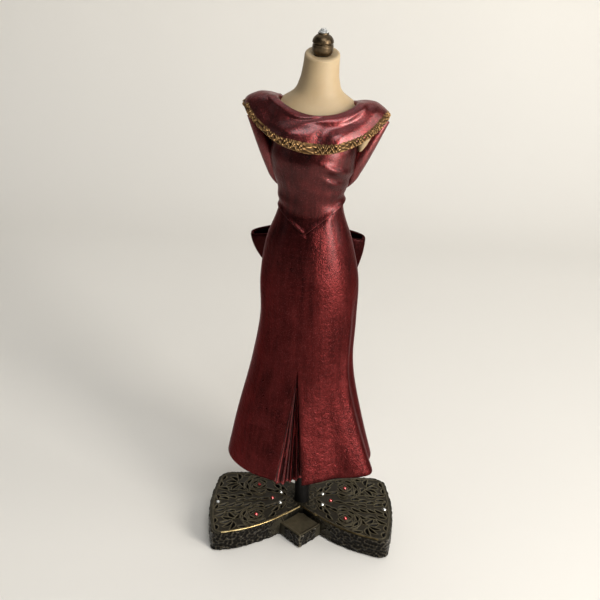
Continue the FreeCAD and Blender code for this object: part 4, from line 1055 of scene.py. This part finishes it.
# Slots of the pierced plate in one half of a wing, as in the CAD
# Rings round the stone: radius, count, first angle, angle between, length and width
RING_SLOTS = ((3.9, 4, 45, 90, 4.46, 1.24), (7.6, 6, -105, 45, 5.08, 1.52))
FAN_SPOT, FAN_RADIUS, FAN_ANGLES, FAN_SLOT = (38.85, 18.91), 5.58, -52 + 33 * np.arange(5), (6.82, 1.9, 0.87)
# Rows: first spot, step, count, then direction, length, width and curl
SLOT_ROWS = (((33.3, 5.7), (4.72, -0.665), 4, (radians(24), 5.89, 1.9, 0.74)),
             ((22.96, 0.0), (7.13, 0.0), 3, (0.0, 5.89, 1.52, 0.0)))
# Leaf slots between those of the CAD: along, across, direction, length, width and curl
LEAVES = (
    (11.4, 3.6, 35, 5.0, 1.7, 0.6), (11.8, 8.6, 62, 5.2, 1.7, -0.7), (15.2, 11.6, 58, 5.6, 1.9, 0.8),
    (15.6, 6.6, 20, 5.4, 1.9, 0.7), (20.3, 8.2, 28, 5.4, 1.8, -0.8), (16.8, 16.6, 62, 5.4, 1.8, 0.9),
    (34.2, 25.8, -4, 6.0, 1.7, 0.5), (25.6, 4.9, -8, 6.0, 1.9, -0.8), (36.6, 11.6, 30, 6.4, 2.0, 0.9),
    (42.8, 9.9, 6, 6.0, 1.8, -0.7), (37.6, 16.2, 62, 5.0, 1.7, 0.7), (48.6, 13.6, 24, 6.2, 1.9, 0.8),
    (48.8, 8.4, 14, 6.0, 1.9, 0.7), (51.2, 18.6, 80, 5.6, 1.8, 0.6), (49.6, 24.6, 100, 5.6, 1.8, 0.7),
    (32.6, 22.6, -40, 4.8, 1.6, 0.6), (51.4, 5.0, 75, 4.4, 1.5, 0.5),
)
PLATE_INSET, PLATE_START, PLATE_STEP, PLATE_PROUD = 1.55, 8.2, 0.3, 0.03


def plate_slots():
    """Slots of one half of a plate: spot, direction, length, width and curl."""
    slots = []
    for radius, count, first, between, length, width in RING_SLOTS:
        for turn in radians(first + between * np.arange(count)):
            curl = -length ** 2 / (8 * radius)
            slots.append((circle(SCROLL_STONE, radius, turn), turn + pi / 2, length, width, curl))
    slots += [(circle(FAN_SPOT, FAN_RADIUS, turn), turn, *FAN_SLOT) for turn in radians(FAN_ANGLES)]
    for spot, step, count, slot in SLOT_ROWS:
        slots += [(np.add(spot, np.multiply(step, i)), *slot) for i in range(count)]
    return slots + [((x, y), radians(turn), *size) for x, y, turn, *size in LEAVES]


def slot_gap(x, y, spot, turn, length, width, curl):
    """Distance out from a slot's edge, measured across it, and less than nothing inside."""
    c, s = cos(turn), sin(turn)
    along, across = (x - spot[0]) * c + (y - spot[1]) * s, (y - spot[1]) * c - (x - spot[0]) * s
    arch = 1 - (2 * along / length) ** 2
    return np.where(arch < -0.25, FAR, np.abs(across + curl * (1 - arch)) - 0.5 * width * arch)


def relief_piece(side, label):
    """Pierced plate of a wing: leaf-shaped slots with raised lips over a dark ground; the slots' floors are
    near-black, painted shade for the pierced holes.
    """
    wall, lip_out, lip_spread = 0.35, 0.45, 0.35
    x, y = np.meshgrid(np.arange(PLATE_START, WING["length"], PLATE_STEP),
                       np.arange(-WING["end"], WING["end"], PLATE_STEP), indexing="ij")
    hollow, lip = np.zeros_like(x), np.zeros_like(x)
    for slot in plate_slots():
        gap = slot_gap(x, np.abs(y), *slot)
        hollow = np.maximum(hollow, unit(-gap / wall))
        lip = np.maximum(lip, bell(gap, lip_out, lip_spread))
    z = CASTING_TOP + PLATE_PROUD + LIP_RISE * lip * (1 - hollow) - SLOT_DEPTH * hollow
    path, _ = wing_path(PLATE_INSET, WING_START)
    half = path[:len(path) // 2]
    inside = (np.abs(y) < np.interp(x, half[:, 0], np.abs(half[:, 1]))).ravel()
    points = np.concatenate([wing_place(side, x, y), z[..., None]], axis=-1).reshape(-1, 3)
    faces = grid_faces(*x.shape, False)
    faces = faces[inside[faces].all(axis=1)][:, ::-side]
    used, faces = np.unique(faces, return_inverse=True)
    return piece_from(f"plate_{label}", points[used], faces.reshape(-1, 4), PLATE)


# Curls round the stone, with their widths, and between the plates and the post:
# spot, start in degrees, turns, outer and inner radius
STONE_CURLS = (((SCROLL_STONE, -150, 0.86, 5.9, 5.5), (0.5, 1.2, 1.3, 0.6)),
               ((SCROLL_STONE, -120, 0.70, 9.7, 9.5), (0.5, 1.4, 1.5, 0.6)))
HUB_CURLS = (((6.4, 4.4), 30, 1.1, 2.4, 0.7), ((7.2, 9.4), -60, 0.6, 2.2, 1.6),
             ((6.8, 0.2), 100, 0.45, 1.9, 1.7), ((9.4, 1.6), 150, 0.5, 2.4, 2.2),
             ((9.2, 7.2), 200, 0.5, 2.2, 2.0), ((4.2, 7.4), 20, 0.6, 1.6, 1.2))
HUB_CURL_WIDTHS = (0.5, 1.2, 0.6)
RING_TURN = np.linspace(0, TAU, 28)
# Rings round the stones: in each half of a wing and on its middle line
HALF_RINGS, MIDDLE_RINGS, RING_WIDTHS = ((SCROLL_STONE, 1.75), ((13.0, 5.3), 1.65)), (18.0, 51.2), (0.9, 0.9)
MIDDLE_RING_RADIUS, BORDER_INSET, BORDER_STEP, BORDER_WIDTHS = 1.7, 1.75, 0.7, (1.3, 1.3)
# Inner end of a bead: from the CAD's bead to the hub
BEAD_Z, BEAD_RADIUS, BEAD_COUNT = CASTING_TOP + 0.1, 0.5, 12
BEAD_FROM, BEAD_TO = (9.6, -16.6, BEAD_Z), (0.6, -8.1, BEAD_Z)


def scroll_strokes():
    """Paths and widths of one half of a wing's scrollwork."""
    strokes = [(spiral(*curl), widths) for curl, widths in STONE_CURLS]
    strokes += [(spiral(*curl, 30), HUB_CURL_WIDTHS) for curl in HUB_CURLS]
    return strokes + [(circle(spot, radius, RING_TURN), RING_WIDTHS) for spot, radius in HALF_RINGS]


def filigree_piece(side, label):
    points, faces = [], []
    for path, widths in scroll_strokes():
        for mirror in (1, -1):
            stroke(path * [1, mirror], widths, points, faces, side)
    for along in MIDDLE_RINGS:
        stroke(circle((along, 0.0), MIDDLE_RING_RADIUS, RING_TURN), RING_WIDTHS, points, faces, side)
    border, _ = wing_path(BORDER_INSET, PLATE_START, BORDER_STEP)
    stroke(border, BORDER_WIDTHS, points, faces, side)
    return weld(piece_from(f"scrollwork_{label}", points, faces, PEWTER))


for side, label in SIDES:
    settle(relief_piece(side, label), "base", "antique_metal", f"filigree_{label}")
    settle(filigree_piece(side, label), "base", "antique_metal")
    path = np.linspace(BEAD_FROM, BEAD_TO, BEAD_COUNT) * [side, 1, 1]
    # The right bead end takes the darker copy of the gilt
    gilt = DULL_GILT if side > 0 else GILT
    bead = tube(f"bead_end_{label}", path, np.full(BEAD_COUNT, BEAD_RADIUS), gilt, 12)
    settle(bead, "base", "gilt_edge")


# Stage, lamps and camera, in metres and watts
FLOOR_SHADES = (0.3, (0.7566, 0.7372, 0.6887)), (0.7, (0.78, 0.76, 0.71))
# Place, target, size, power and colour of each lamp
LAMPS = {
    "window": ((0.76, -0.70, 0.44), (0.0, 0.0, 0.17), (0.36, 0.86), 13.8, (1.0, 0.96, 0.91)),
    "side": ((1.02, -0.22, 0.52), (0.0, 0.0, 0.20), (0.44, 0.70), 3.4, (1.0, 0.96, 0.92)),
    "sky": ((0.20, -0.66, 1.12), (0.0, 0.0, 0.20), (0.60, 0.50), 5.2, (0.97, 0.98, 1.0)),
    "ceiling": ((0.0, 0.25, 1.3), (0.0, 0.0, 0.20), (1.40, 0.80), 3.0, (0.98, 0.98, 1.0)),
    "fill": ((-1.2, -0.5, 0.5), (0.0, 0.0, 0.16), (0.50, 0.90), 0.3, (0.96, 0.97, 1.0)),
}
WORLD_COLOUR, WORLD_STRENGTH = (0.82, 0.81, 0.78, 1.0), 0.12
# Camera fitted to the photograph's view: lens and sensor in millimetres, shift as a share of the picture
LENS, SENSOR, SHIFT = 60.0, 36.0, -10.93 / 600
CAMERA_PLACE, CAMERA_DOWN, CAMERA_ROLL = (0.0, -0.50555, 0.39471), 0.4508, radians(2.72)


def sweep_backdrop():
    """Pale floor that curves up into a pale wall."""
    front, back, radius, top, half = -2.5, 0.45, 0.25, 2.6, 3.0
    profile = [(front, 0.0), (back, 0.0)]
    profile += [(back + radius * sin(a), radius * (1 - cos(a)))
                for a in np.linspace(0.15, pi / 2, 12)]
    profile += [(back + radius, top)]
    x = np.linspace(-half, half, 9)
    grid = np.array([[(i, y, z) for i in x] for y, z in profile]) / MM
    pale = speckled("pale_floor", (3.0, 2.0, 0.5), *FLOOR_SHADES, Roughness=0.85)
    return surface("floor", grid, pale)


sweep_backdrop()

for name, (place, target, size, power, colour) in LAMPS.items():
    lamp = bpy.data.lights.new(name, "AREA")
    lamp.shape, lamp.size, lamp.size_y = "RECTANGLE", *size
    lamp.energy, lamp.color = power, colour
    obj = link(name, lamp)
    obj.location = place
    obj.rotation_euler = (Vector(target) - Vector(place)).to_track_quat("-Z", "Y").to_euler()

world = bpy.data.worlds.new("studio")
bpy.context.scene.world = world
world.use_nodes = True
background = world.node_tree.nodes["Background"].inputs
background["Color"].default_value, background["Strength"].default_value = WORLD_COLOUR, WORLD_STRENGTH

camera_data = bpy.data.cameras.new("camera")
camera_data.lens, camera_data.sensor_width, camera_data.shift_x = LENS, SENSOR, SHIFT
camera = link("camera", camera_data)
camera.location = CAMERA_PLACE
pitch = pi / 2 - CAMERA_DOWN
camera.rotation_euler = (Matrix.Rotation(pitch, 3, "X") @ Matrix.Rotation(CAMERA_ROLL, 3, "Z")).to_euler()
bpy.context.scene.camera = camera
bpy.context.scene.view_settings.view_transform = "Standard"
